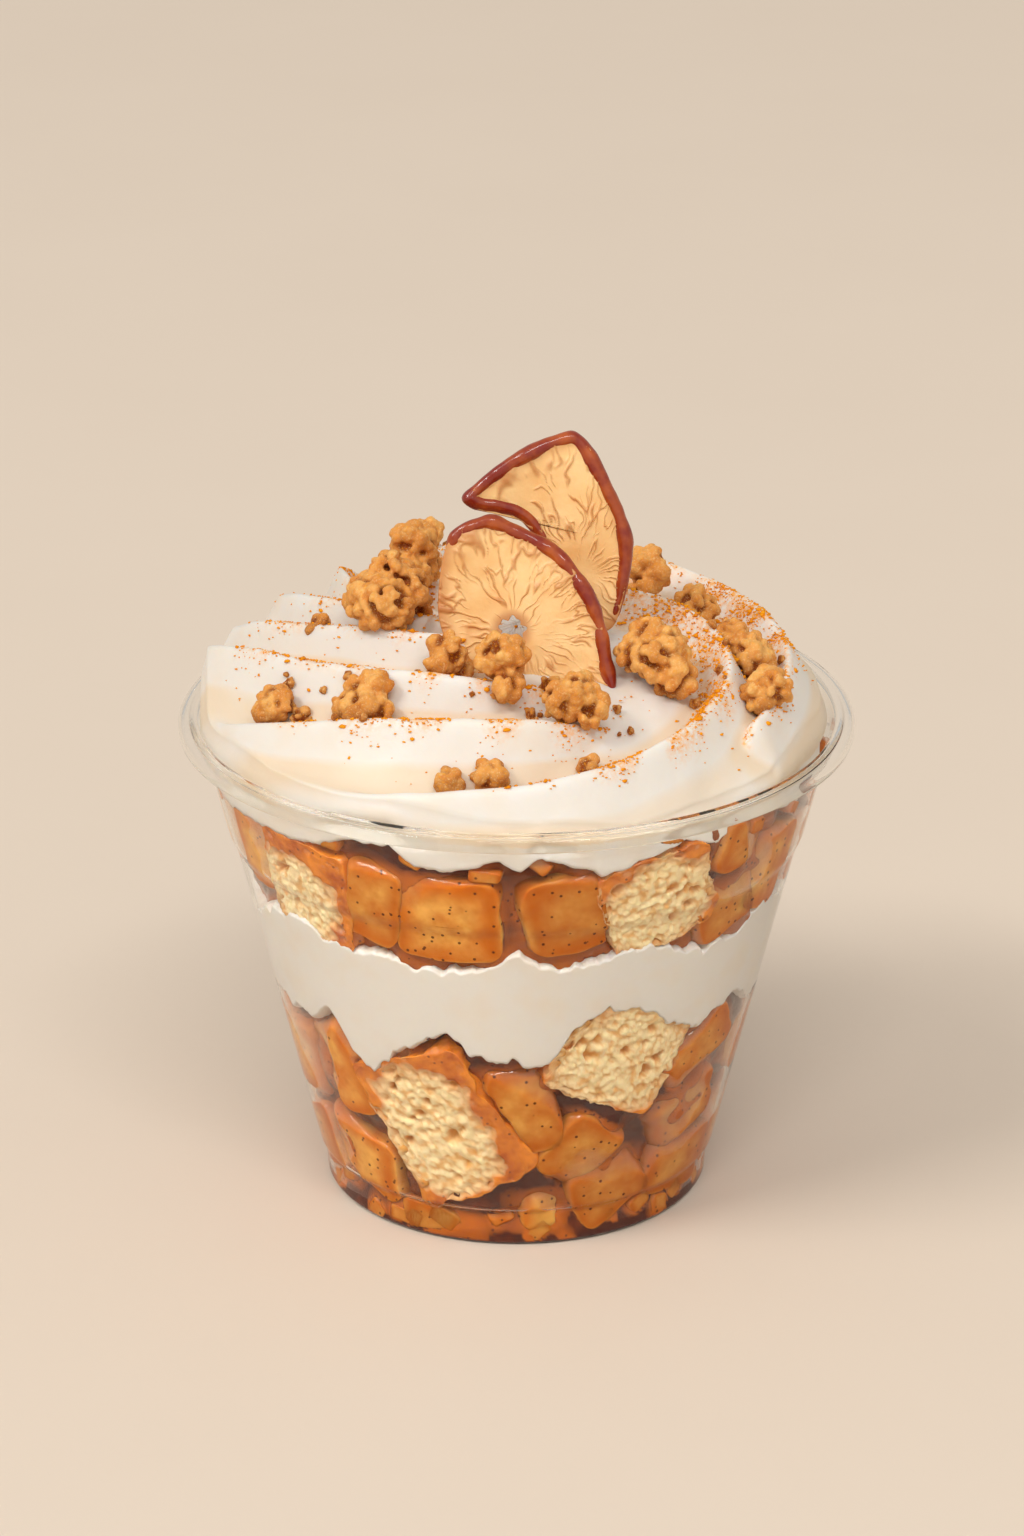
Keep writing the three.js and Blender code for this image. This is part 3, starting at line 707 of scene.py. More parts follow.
def softened(profile, reach, steps=4):
    """The same profile with each corner cut by a short curve."""
    result = [profile[0]]
    for before, corner, after in zip(profile, profile[1:], profile[2:]):
        corner_at = Vector(corner)
        sides = [Vector(other) - corner_at for other in (before, after)]
        cut = [corner_at + side.normalized() * min(reach, side.length * 0.4) for side in sides]
        for step in range(steps):
            share = step / (steps - 1)
            result.append(tuple(cut[0].lerp(corner_at, share).lerp(corner_at.lerp(cut[1], share), share)))
    return result + [profile[-1]]


def cup_profile():
    """Half section of the cup: from the middle of its base up outside, over the lip and down inside."""
    outside = [(0, 0), (FOOT_RADIUS - FOOT_ROUND, 0)] + [(radius, height) for height, radius in WALL_RINGS]
    outside.append((WALL_RINGS[-1][1] + 0.15, LIP_TOP - 1.0))
    lip_middle = (WALL_RINGS[-1][1] + LIP_RADIUS) / 2
    under = [(lip_middle, LIP_TOP - 0.45), (LIP_RADIUS - 0.6, LIP_TOP - 0.9), (LIP_RADIUS - 0.45, LIP_SKIRT)]
    over = [(LIP_RADIUS, LIP_SKIRT), (LIP_RADIUS, LIP_TOP - 0.9), (lip_middle + 0.5, LIP_TOP),
            (WALL_RINGS[-1][1] - 0.1, LIP_TOP)]
    inside = [(radius - CUP_WALL, height + 0.1) for height, radius in reversed(WALL_RINGS)]
    inside += [(FOOT_RADIUS - CUP_WALL - FOOT_ROUND, CUP_FLOOR), (0, CUP_FLOOR)]
    return softened(outside + under + over + inside, 0.45)


def cup_material(settings):
    shader = Shader("clear_cup")
    shader.set(Base_Color=settings.tint, Roughness=settings.roughness, IOR=1.22, Transmission_Weight=1.0)
    clear = shader.put("ShaderNodeBsdfTransparent")
    path = shader.put("ShaderNodeLightPath")
    mixed = shader.put("ShaderNodeMixShader")
    shader.tree.links.new(path.outputs["Is Shadow Ray"], mixed.inputs[0])
    shader.tree.links.new(shader.principled.outputs[0], mixed.inputs[1])
    shader.tree.links.new(clear.outputs[0], mixed.inputs[2])
    shader.tree.links.new(mixed.outputs[0], shader.output.inputs["Surface"])
    return shader.material


class DESSERT_OT_cup(Operator):
    """Spins the clear cup with its steps and rolled lip"""

    bl_idname = "dessert.cup"
    bl_label = "Clear Cup"

    def execute(self, context):
        settings = context.scene.dessert_cup
        bm = bmesh.new()
        chain = [bm.verts.new((radius, 0, height)) for radius, height in cup_profile()]
        edges = [bm.edges.new(pair) for pair in zip(chain, chain[1:])]
        bmesh.ops.spin(
            bm, geom=chain + edges, cent=(0, 0, 0), axis=(0, 0, 1), angle=2 * math.pi,
            steps=settings.segments, use_merge=True,
        )
        bmesh.ops.remove_doubles(bm, verts=bm.verts, dist=1e-4)
        bmesh.ops.recalc_face_normals(bm, faces=bm.faces)
        finished(mesh_from(bm, "clear_cup"), cup_material(settings), ["cup"])
        return {"FINISHED"}


# ---- Cream ----

def dome_height(radius):
    share = np.minimum(radius / MOUND["radius"], 1)
    return MOUND["top"] - MOUND["fall"] * share**2 - MOUND["shoulder"] * share ** MOUND["power"]


def between(knots, column, bearing):
    """Smooth curve through one column of a table whose first column is the bearing."""
    at = [knot[0] for knot in knots]
    value = [knot[column] for knot in knots]
    last = len(knots) - 1
    slopes = [
        (value[min(i + 1, last)] - value[max(i - 1, 0)]) / (at[min(i + 1, last)] - at[max(i - 1, 0)])
        for i in range(last + 1)
    ]
    bearing = np.clip(bearing, at[0], at[-1])
    result = np.full_like(bearing, value[0])
    for i in range(last):
        span = at[i + 1] - at[i]
        share = (bearing - at[i]) / span
        rise = share**2 * (3 - 2 * share)
        curve = value[i] * (1 - rise) + value[i + 1] * rise
        curve += share * (1 - share) ** 2 * span * slopes[i] + share**2 * (share - 1) * span * slopes[i + 1]
        result = np.where((share >= 0) & (share <= 1), curve, result)
    return result


def arm_section(knots, bearing, radius):
    """Height of one piped arm, and how far outside its crest each point lies."""
    first, span = knots[0][0], knots[-1][0] - knots[0][0]
    turned = (bearing - first + 60) % 360 - 60
    before = np.radians(np.maximum(0, -turned)) * radius
    after = np.radians(np.maximum(0, turned - span)) * radius
    offset = radius - between(knots, 1, first + turned)
    away = np.hypot(offset, ARM["crest"]) - ARM["crest"]
    outer = ARM["out_drop"] * (1 - np.exp(-away / ARM["out_reach"])) + ARM["out_slope"] * away
    inner = ARM["in_drop"] * (1 - np.exp(-away / ARM["in_reach"])) + ARM["in_slope"] * away
    ends = (before / ARM["start_taper"]) ** 2 + (after / ARM["end_taper"]) ** 2
    height = between(knots, 2, first + turned) - np.where(offset > 0, outer, inner) - ARM["end_drop"] * ends
    return height, offset


def cream_top(x, y):
    """Height of the swirl over a point, and the distance from the crest of the arm that shows there."""
    radius = np.hypot(x, y)
    bearing = np.degrees(np.arctan2(x, -y))
    height = dome_height(radius)
    crest = np.full_like(height, 9.0)
    for knots in ARMS:
        arm, offset = arm_section(knots, bearing, radius)
        crest = np.where(arm > height, offset, crest)
        mix = np.clip(0.5 + (arm - height) / (4 * ARM["blend"]), 0, 1)
        height = height + (arm - height) * mix + 2 * ARM["blend"] * mix * (1 - mix)
    return height, crest


def cream_height(x, y):
    """Height of the swirl at one place."""
    return float(cream_top(np.array([x]), np.array([y]))[0][0])


def swirl_mesh(ripple):
    top_rows, side_rows, bottom_rows = 150, 30, 8
    rows = top_rows + side_rows + bottom_rows

    def outline(bearing, row):
        turn = np.radians(bearing)
        x, y = np.sin(turn), -np.cos(turn)
        edge_radius = MOUND["edge"] - MOUND["edge_gap"] * smooth_step(0.2, 1, x)
        edge_radius = edge_radius + 0.35 * waves(bearing, 0 * bearing, 24, 5)
        edge_top = cream_top(x * edge_radius, y * edge_radius)[0]
        radius = edge_radius * np.minimum(row / top_rows, 1)
        height = cream_top(x * radius, y * radius)[0]
        height = height + ripple * waves(bearing, radius, 16, 3) + 0.4 * ripple * waves(bearing, radius, 7, 4)
        low = edge_height(SWIRL_LOWER, bearing) + 0.6 * torn_edge(bearing, 9)
        down = np.clip((row - top_rows) / side_rows, 0, 1)
        side_height = edge_top + (low - edge_top) * down
        bulge = 0.9 * np.sin(np.pi * np.clip(down * 1.6, 0, 1)) ** 2
        roll = 2.2 * smooth_step(0.86, 1.0, down) ** 2
        side_radius = np.minimum(edge_radius + bulge, inner_radius(side_height) + INTO_WALL["cream"]) - roll
        inwards = np.clip((rows - row) / bottom_rows, 0, 1)
        bottom_radius = (inner_radius(low) - 2.0) * inwards
        bottom_height = SWIRL_BOTTOM + (low - SWIRL_BOTTOM) * inwards**3
        on_top, on_side = row <= top_rows, row <= top_rows + side_rows
        radius = np.where(on_top, radius, np.where(on_side, side_radius, bottom_radius))
        height = np.where(on_top, height, np.where(on_side, side_height, bottom_height))
        return radius, height

    return turned_body("cream_swirl", 480, rows, outline)


def torn_edge(bearing, seed):
    """Small tears and wisps along an edge of the cream at the wall, in millimetres."""
    ring = around(bearing, 36.0 + 0 * bearing, 0 * bearing)
    broad, fine = noise_at(ring, 3.2, seed), noise_at(ring, 1.3, seed + 1)
    wisps = np.maximum(noise_at(ring, 1.9, seed + 2), 0) ** 2
    return 0.7 * broad + 0.7 * fine + 0.35 * noise_at(ring, 0.7, seed + 3) - 1.4 * wisps


def band_mesh():
    top_rows, side_rows = 6, 60
    rows = 2 * top_rows + side_rows

    def outline(bearing, row):
        low = edge_height(BAND_LOWER, bearing) + torn_edge(bearing, 11)
        high = edge_height(BAND_UPPER, bearing) + torn_edge(bearing, 13)
        down, top_share, low_share, chosen = layer_parts(row, top_rows, side_rows)
        side_height = high + (low - high) * down
        from_edge = np.minimum(down, 1 - down) * (high - low)
        roll = 1.0 * (1 - smooth_step(0, 0.7, from_edge)) ** 2
        side_radius = inner_radius(side_height) + INTO_WALL["cream"] - roll
        top_height = BAND_MIDDLE[1] + (high - BAND_MIDDLE[1]) * top_share**2
        low_height = BAND_MIDDLE[0] + (low - BAND_MIDDLE[0]) * low_share**2
        top_radius = (inner_radius(high) - 1.8) * top_share
        low_radius = (inner_radius(low) - 1.8) * low_share
        return chosen(top_radius, side_radius, low_radius), chosen(top_height, side_height, low_height)

    return turned_body("cream_band", 720, rows, outline)


def cream_material(settings, dusted, dust_colour):
    shader = Shader("cream_dusted" if dusted else "cream")
    # Painted shade: creases and the valleys between the arms take the fold colour
    fold_shade = shader.ramp(shader.painted("crevice_shade"), (-0.03, 0.0), (0.2, 0.9))
    fold_shade = shader.math("MAXIMUM", fold_shade, shader.ramp(shader.painted("valley_shade"), (0.1, 0.0), (1.0, 0.75)))
    mottle = shader.patches(7, 2, (0.35, 0.0), (0.75, 0.35))
    colour = shader.mix(shader.math("MAXIMUM", fold_shade, mottle), settings.colour, settings.fold_shade)
    if dusted:
        fine = shader.noise(0.9, 5, 0.75)
        thick = shader.ramp(shader.painted("dust"), (0.14, 0.0), (0.65, 0.95))
        powder = shader.times(thick, shader.ramp(fine, (0.42, 0.0), (0.62, 1.0)))
        colour = shader.mix(powder, colour, dust_colour)
    shader.set(
        Base_Color=colour, Roughness=0.42, Specular_IOR_Level=0.45, **soft(0.35, (1.0, 0.75, 0.5), 2.2),
        Normal=shader.bump(shader.noise(1.2, 4), 0.18, 0.25),
    )
    return shader.material


def valley_at(points):
    """How deep each point of the swirl lies below the cream 4 mm round it, in millimetres."""
    mean = 0
    for turn in np.radians(np.arange(0, 360, 45)):
        mean = mean + cream_top(points[:, 0] + 4 * math.cos(turn), points[:, 1] + 4 * math.sin(turn))[0] / 8
    return mean - cream_top(points[:, 0], points[:, 1])[0]


def dust_at(points):
    """How much cinnamon lies on the swirl: most on the crests' inner sides, and in patches."""
    _, crest = cream_top(points[:, 0], points[:, 1])
    radius = np.hypot(points[:, 0], points[:, 1])
    bearing = bearing_of(points)
    right = smooth_step(-60, 60, bearing) * (1 - smooth_step(110, 170, bearing))
    on_crest = np.exp(-((crest + 0.9) / (1.6 + 0.9 * right)) ** 2)
    inside = np.where(crest < 0, 0.4, 0.1)
    patches = np.clip(0.5 + 0.9 * waves(bearing, radius, 13, 21), 0, 1)
    edge = 1 - smooth_step(37, 42, radius)
    return (0.9 * on_crest * (0.75 + 0.2 * right) + inside) * (0.2 + 0.8 * patches) * edge


class DESSERT_OT_cream(Operator):
    """Shapes the piped swirl on top and the band of cream between the fruit layers"""

    bl_idname = "dessert.cream"
    bl_label = "Cream"

    def execute(self, context):
        settings = context.scene.dessert_cream
        dust_colour = context.scene.dessert_cinnamon.colour
        swirl = swirl_mesh(settings.ripple)
        points = read_points(swirl)
        # Painted shade: how hollow each vertex lies, for a darker colour in creases
        paint(swirl, "crevice_shade", crevices(swirl))
        # How far the swirl dips below its surroundings, kept to paint shade into its valleys
        paint(swirl, "valley_shade", np.where(points[:, 2] > SWIRL_TOP_FROM, valley_at(points), 0))
        top = read_normals(swirl)[:, 2] > 0.35
        paint(swirl, "dust", np.where(top & (points[:, 2] > SWIRL_TOP_FROM), dust_at(points), 0))
        finished(swirl, cream_material(settings, True, dust_colour), ["cream_top"])
        band = band_mesh()
        # Painted shade in the band's creases
        paint(band, "crevice_shade", crevices(band))
        paint(band, "valley_shade", np.zeros(len(band.vertices)))
        finished(band, cream_material(settings, False, dust_colour), ["cream_middle"])
        return {"FINISHED"}


# ---- Fruit and syrup ----

# Depth of syrup, in millimetres, that leaves about a third of the fruit's own colour
SYRUP_REACH = 2.4


def through_syrup(depth):
    """Share of the fruit's own colour that is left behind a depth of syrup."""
    return np.exp(-np.maximum(depth, 0) / SYRUP_REACH)


def dice_mesh(row, tone, cake, cuts, rounding, seed):
    bearing, height, width, tall, turn = row
    random = np.random.default_rng(seed)
    size = np.array((width, FRUIT_DEPTH, tall)) * DICE_SWELL
    mesh = rounded_box("dice", size, min(rounding, tall * 0.35), cuts, 0.3, seed)
    points = read_points(mesh)
    inner = np.sort(np.abs(points) * 2 / size, axis=1)[:, 1]
    dents = 0.5 * noise_at(points, 5, seed) + 0.2 * noise_at(points, 2.1, seed + 1)
    points = swelled(mesh, points, dents)
    yaw = Matrix.Rotation(math.radians(random.uniform(-28, 28)), 3, "Z")
    pitch = Matrix.Rotation(math.radians(random.uniform(-20, 4)), 3, "X")
    points = points @ np.array(yaw @ pitch).T
    turn += random.uniform(-7, 7)
    points = place_at_wall(points, bearing, height, size[1], turn, 0.8 + random.uniform(-0.4, 0.6))
    points = kept_inside(points, INTO_WALL["fruit"] - behind_cake(points, cake))
    write_points(mesh, points)
    paint(mesh, "clear", through_syrup(wall_depth(points)))
    paint(mesh, "pale", 1 - smooth_step(0.35, 0.95, inner))
    paint(mesh, "tone", np.full(len(points), tone))
    paint(mesh, "wet", smooth_step(0.04, 0.35, wall_depth(points)))
    return mesh


def bits(low, high, count, seed):
    """Rows of small broken bits of fruit against the wall."""
    random = np.random.default_rng(seed)
    rows = []
    for index in range(count):
        bearing = (index + random.uniform(0, 0.8)) * 360 / count
        width, tall = random.uniform(2.6, 5.0), random.uniform(2.0, 3.4)
        rows.append((bearing, random.uniform(low, high), width, tall, random.uniform(-40, 40)))
    return rows


def syrup_mesh(name, low, high, dice, cake, seed):
    """The liquid of a layer: it fills the space between the dice, with shallow pockets at the wall."""
    top_rows, side_rows = 5, 90
    rows = 2 * top_rows + side_rows

    def outline(bearing, row):
        down, top_share, low_share, chosen = layer_parts(row, top_rows, side_rows)
        side_height = high + (low - high) * down
        spot = around(bearing, wall_radius(side_height), side_height)
        pocket = 1.1 + 1.4 * noise_at(spot, 6.5, seed) + 0.6 * noise_at(spot, 2.6, seed + 1)
        pocket = np.maximum(pocket, 0) * smooth_step(1.5, 7.0, side_height)
        pocket = np.maximum(pocket, behind_cake(spot, cake))
        side_radius = inner_radius(side_height) + INTO_WALL["syrup"] - pocket
        rim, foot = inner_radius(high) - 1.5, inner_radius(low) - 0.4
        return chosen(rim * top_share, side_radius, foot * low_share), chosen(high, side_height, low)

    mesh = turned_body(name, 500, rows, outline)
    points = read_points(mesh)
    bm = bmesh.new()
    for piece in dice:
        bm.from_mesh(piece)
    tree = BVHTree.FromBMesh(bm)
    bm.free()
    clear = np.zeros(len(points))
    depth = wall_depth(points)
    for index, point in enumerate(points.tolist()):
        if depth[index] > 4:
            continue
        inwards = Vector((-point[0], -point[1], 0)).normalized()
        hit = tree.ray_cast(Vector(point) - inwards * 0.01, inwards, 5)
        if hit[0] is not None and hit[1].dot(inwards) < 0:
            clear[index] = through_syrup(depth[index] + hit[3] * 0.8)
    above_band = points[:, 2] - edge_height(BAND_UPPER, bearing_of(points))
    film = 0.6 * (1 - smooth_step(0.5, 3.0, np.abs(above_band)))
    paint(mesh, "clear", np.maximum(clear, film))
    paint(mesh, "pale", clear * 0)
    paint(mesh, "tone", clear * 0 + 0.5)
    paint(mesh, "wet", clear * 0 + 0.5)
    return mesh


def fruit_material(name, settings, gloss):
    shader = Shader(name)
    fibre = shader.patches(2.6, 4, (0.35, 0.0), (0.68, 1.0))
    pale = shader.times(shader.painted("pale"), shader.patches(4.5, 3, (0.3, 0.15), (0.62, 1.0)))
    fruit = shader.mix(pale, settings.colour, settings.pale)
    fruit = shader.mix(shader.times(fibre, 0.38), fruit, srgb(184, 84, 4))
    fruit = shader.mix(shader.times(shader.painted("tone"), 0.6), fruit, srgb(166, 78, 12))
    cloud = shader.patches(5, 3, (0.48, 0.0), (0.78, 1.0))
    syrup = shader.mix(cloud, settings.syrup, srgb(134, 52, 2))
    colour = shader.mix(shader.painted("clear"), syrup, fruit)
    specks = shader.group(specks_group(), Cells=900.0, Radius=0.2, Share=0.4)
    colour = shader.mix(shader.times(specks, 0.85), colour, srgb(74, 26, 4))
    shader.set(
        Base_Color=colour, Roughness=0.35, Specular_IOR_Level=0.05, **soft(0.35, (1.0, 0.5, 0.2), 2.2),
        Coat_Roughness=0.03, Coat_IOR=1.65,
        Coat_Weight=shader.ramp(shader.painted("wet"), (0.0, 0.15), (1.0, gloss)),
        Normal=shader.bump(shader.noise(1.8, 3), 0.3, 0.25),
    )
    return shader.material


class DESSERT_OT_fruit(Operator):
    """Fills the two fruit layers with diced fruit and the syrup round it"""

    bl_idname = "dessert.fruit"
    bl_label = "Fruit and Syrup"

    def execute(self, context):
        settings = context.scene.dessert_fruit
        dice_look = fruit_material("cooked_fruit", settings, 1.0)
        syrup_look = fruit_material("syrup", settings, 0.9)
        layers = (
            ("lower", LOWER_FRUIT, LOWER_TONE, LOWER_CAKE, (1.8, 4.6, 34, 5), CUP_FLOOR - 0.15),
            ("upper", UPPER_FRUIT, UPPER_TONE, UPPER_CAKE, (61, 64, 26, 6), BAND_MIDDLE[1] - 3.5),
        )
        for name, table, tones, cake, bit_rows, low in layers:
            node, seed = f"fruit_{name}", SEED[f"{name}_fruit"]
            rows = both_halves(table) + bits(*bit_rows)
            dice = []
            for index, row in enumerate(rows):
                whole = index < 2 * len(table)
                tone, cuts = (tones[index % len(table)], 19) if whole else (0.8, 7)
                dice.append(dice_mesh(row, tone, cake, cuts, settings.rounding, seed + index))
            syrup = syrup_mesh(f"syrup_{name}", low, FRUIT_LEVEL[name], dice, cake, seed)
            finished(syrup, syrup_look, [node])
            finished(joined(f"diced_fruit_{name}", dice), dice_look, [node])
        return {"FINISHED"}


# ---- Cake ----

# Dry, pale patch of each shown cake cube: its middle across and up the wall, and its reach both ways, as
# shares of the cube's half sizes. The rest is soaked in syrup.
DRY_PATCH = {"lower": [(-0.16, -0.12, 0.94, 1.0), (0.02, -0.02, 1.16, 1.12)],
             "upper": [(-0.3, -0.22, 1.0, 0.9), (0.0, -0.08, 1.16, 1.06)]}


def cake_mesh(name, row, patch, pit_depth, seed):
    bearing, height, width, tall, turn = row
    mesh = rounded_box(name, (width, CAKE_DEPTH, tall), 2.0, 60, 0.16, seed)
    points = read_points(mesh)
    half = np.array((width, CAKE_DEPTH, tall)) / 2
    shift = 0.9 * noise_at(points, 5, seed) + 0.6 * noise_at(points, 2.2, seed + 7)
    points = swelled(mesh, points, shift)
    placed = place_at_wall(points, bearing, height, CAKE_DEPTH, turn, 1.5)
    write_points(mesh, placed)
    normals = read_normals(mesh)
    broad = noise_at(points, 4, seed + 2)
    near, own = cells_at(points, 2.3, seed)
    fine, _ = cells_at(points, 1.0, seed + 1)
    turned = math.radians(turn)
    flat = points / half
    across = flat[:, 0] * math.cos(turned) + flat[:, 2] * math.sin(turned)
    up = flat[:, 2] * math.cos(turned) - flat[:, 0] * math.sin(turned)
    reach = np.hypot((across - patch[0]) / patch[2], (up - patch[1]) / patch[3])
    soak = smooth_step(0.92, 1.06, reach + 0.2 * broad + 0.3 * (near - 0.5))
    pit = smooth_step(0.46, 0.14, near + 0.15 * noise_at(points, 0.8, seed + 5))
    pit = pit * (own < 0.5) * smooth_step(-0.5, 0.2, broad)
    tufts = 0.6 * np.abs(noise_at(points, 1.5, seed + 3)) + 0.45 * np.abs(noise_at(points, 0.8, seed + 4))
    tufts = tufts + 0.2 * fine
    dry = 1 - 0.75 * soak
    placed = kept_inside(placed, INTO_WALL["cake"]) - (dry * (pit * pit_depth + tufts))[:, None] * normals
    placed = kept_inside(placed, INTO_WALL["cake"])
    write_points(mesh, placed)
    # Painted shade in the pits and among the finer cells, away from the soaked part
    paint(mesh, "pit", np.clip((pit + 0.8 * smooth_step(0.45, 0.85, fine)) * (1 - soak), 0, 1))
    paint(mesh, "soak", soak)
    paint(mesh, "crust", smooth_step(0.66, 1.0, reach + 0.15 * broad) * (1 - soak))
    # Painted shade in the cake's crevices
    paint(mesh, "crevice_shade", crevices(mesh))
    return mesh


def cake_material(settings):
    shader = Shader("cake_crumb")
    patch = shader.patches(3, 3, (0.35, 0.0), (0.7, 0.6))
    crumb = shader.mix(patch, settings.crumb, srgb(244, 208, 150))
    # Painted shade: crevices and pits take the pit colour
    hollow = shader.ramp(shader.painted("crevice_shade"), (0.02, 0.0), (0.5, 0.85))
    hollow = shader.math("MAXIMUM", shader.painted("pit"), hollow)
    colour = shader.mix(hollow, crumb, settings.pit)
    colour = shader.mix(shader.times(shader.painted("crust"), 0.5), colour, settings.crust)
    wet = shader.mix(shader.patches(3.5, 3, (0.35, 0.0), (0.7, 1.0)), srgb(238, 140, 24), srgb(184, 84, 6))
    specks = shader.group(specks_group(), Cells=1000.0, Radius=0.2, Share=0.35)
    wet = shader.mix(shader.times(specks, 0.7), wet, srgb(88, 32, 6))
    colour = shader.mix(shader.painted("soak"), colour, wet)
    rough = shader.ramp(shader.painted("soak"), (0.2, 0.85), (0.9, 0.25))
    shader.set(
        Base_Color=colour, Roughness=rough, Coat_Roughness=0.08, **soft(0.25, (1.0, 0.6, 0.3), 1.6),
        Coat_Weight=shader.ramp(shader.painted("soak"), (0.4, 0.0), (0.9, 0.6)),
        Normal=shader.bump(shader.noise(0.7, 5, 0.7), 0.5, 0.25),
    )
    return shader.material


class DESSERT_OT_cake(Operator):
    """Tears the cake cubes, with an open crumb and soaked edges"""

    bl_idname = "dessert.cake"
    bl_label = "Cake Cubes"

    def execute(self, context):
        settings = context.scene.dessert_cake
        look = cake_material(settings)
        for layer, table in (("lower", LOWER_CAKE), ("upper", UPPER_CAKE)):
            for index, row in enumerate(both_halves(table)):
                name = f"cake_{layer}_{index + 1}"
                patch = DRY_PATCH[layer][index % len(table)]
                seed = SEED[f"{layer}_cake"] + index
                mesh = cake_mesh(f"{name}_crumb", row, patch, settings.pit_depth, seed)
                finished(mesh, look, [name])
        return {"FINISHED"}


# ---- Crumble ----

def seeded_random(seed):
    """The same draws that placed the lumps of the solids."""
    state = seed
    while True:
        state = (state * 1664525 + 1013904223) % 4294967296
        yield state / 4294967296


def cluster_lumps(cluster, seed):
    """Middle and radius of each lump of a cluster, packed in a low heap on the cream."""
    _, x, y, width, height, count = cluster
    random = seeded_random(seed)
    lump_radius = 0.5 * width / math.sqrt(count) + 0.35
    lumps = []
    for index in range(count):
        share = (index + 0.3) / count
        reach = (width / 2 - lump_radius * 0.9) * math.sqrt(share)
        angle = index * GOLDEN_TURN + seed
        lift = (height - lump_radius * 2) * (1 - share) + lump_radius
        radius = lump_radius * (0.9 + 0.3 * next(random))
        for _ in range(2):
            next(random)
        at_x, at_y = x + reach * math.cos(angle), y + reach * math.sin(angle)
        lumps.append(((at_x, at_y, cream_height(at_x, at_y) + lift), radius))
    return lumps


def knobbly(name, lumps, voxel, seed):
    """Lumps covered in small grains, fused into one skin and roughened."""
    random = np.random.default_rng(seed)
    bm = bmesh.new()
    for middle, radius in lumps:
        grains = [(np.array(middle), radius * 0.66)]
        number = max(8, round(radius * radius * 3.2))
        for index in range(number):
            up = 1 - 2 * (index + 0.5) / number
            turn = index * GOLDEN_TURN + random.uniform(-0.6, 0.6)
            flat = math.sqrt(1 - up * up)
            way = np.array((flat * math.cos(turn), flat * math.sin(turn), up))
            size = random.uniform(0.62, 1.2) * min(1, radius / 1.9)
            grains.append((np.array(middle) + way * (radius * random.uniform(0.95, 1.15) - size * 0.6), size))
        for place, size in grains:
            stretch = Matrix.Diagonal((*random.uniform(0.7, 1.3, 3), 1))
            turned = Matrix.Rotation(random.uniform(0, FULL_TURN), 4, random.normal(size=3).tolist())
            matrix = Matrix.Translation(place.tolist()) @ turned @ stretch
            bmesh.ops.create_icosphere(bm, subdivisions=2, radius=size, matrix=matrix)
    rough = mesh_from(bm, name + "_grains")
    holder = linked(name + "_grains", rough)
    fuse = holder.modifiers.new("fuse", "REMESH")
    fuse.mode = "VOXEL"
    fuse.voxel_size = voxel
    fuse.adaptivity = 0
    evaluated = holder.evaluated_get(bpy.context.evaluated_depsgraph_get())
    mesh = bpy.data.meshes.new_from_object(evaluated)
    mesh.name = name
    bpy.data.objects.remove(holder)
    bpy.data.meshes.remove(rough)
    points = read_points(mesh)
    shift = 0.14 * noise_at(points, 1.3, seed) + 0.12 * noise_at(points, 0.6, seed + 1)
    write_points(mesh, swelled(mesh, points, shift))
    # Painted shade in the crumble's crevices
    paint(mesh, "crevice_shade", crevices(mesh))
    # Painted shade, deepest near each lump's middle among its grains
    deep = np.full(len(points), 9.0)
    for middle, radius in lumps:
        deep = np.minimum(deep, np.linalg.norm(points - middle, axis=1) / radius)
    paint(mesh, "deep", smooth_step(0.97, 0.72, deep))
    paint(mesh, "tone", cells_at(points, 1.8, seed)[1])
    # Height above the cream, kept to paint shade at the foot of each cluster
    ground = cream_top(points[:, 0], points[:, 1])[0]
    paint(mesh, "lift", np.clip((points[:, 2] - ground) / 5, 0, 1))
    return mesh


def crumble_material(settings, dust_colour):
    shader = Shader("baked_crumble")
    colour = shader.mix(shader.times(shader.painted("tone"), 0.8), settings.colour, srgb(220, 134, 56))
    patch = shader.patches(3, 3, (0.4, 0.0), (0.7, 0.6))
    colour = shader.mix(patch, colour, srgb(206, 116, 40))
    # Painted shade in crevices and deep among the grains
    hollow = shader.ramp(shader.painted("crevice_shade"), (0.05, 0.0), (0.45, 0.85))
    hollow = shader.math("MAXIMUM", hollow, shader.painted("deep"))
    colour = shader.mix(hollow, colour, settings.dark)
    # Painted shade at the foot, where a cluster meets the cream
    low = shader.ramp(shader.painted("lift"), (0.0, 0.6), (0.6, 0.0))
    colour = shader.mix(low, colour, settings.dark)
    grain = shader.noise(0.35, 4, 0.7)
    colour = shader.mix(shader.ramp(grain, (0.52, 0.0), (0.66, 0.6)), colour, dust_colour)
    colour = shader.mix(shader.ramp(grain, (0.34, 0.6), (0.46, 0.0)), colour, srgb(255, 212, 140))
    shader.set(
        Base_Color=colour, Roughness=0.7, Specular_IOR_Level=0.25, **soft(0.12, (1.0, 0.5, 0.25), 0.8),
        Normal=shader.bump(grain, 0.9, 0.3),
    )
    return shader.material


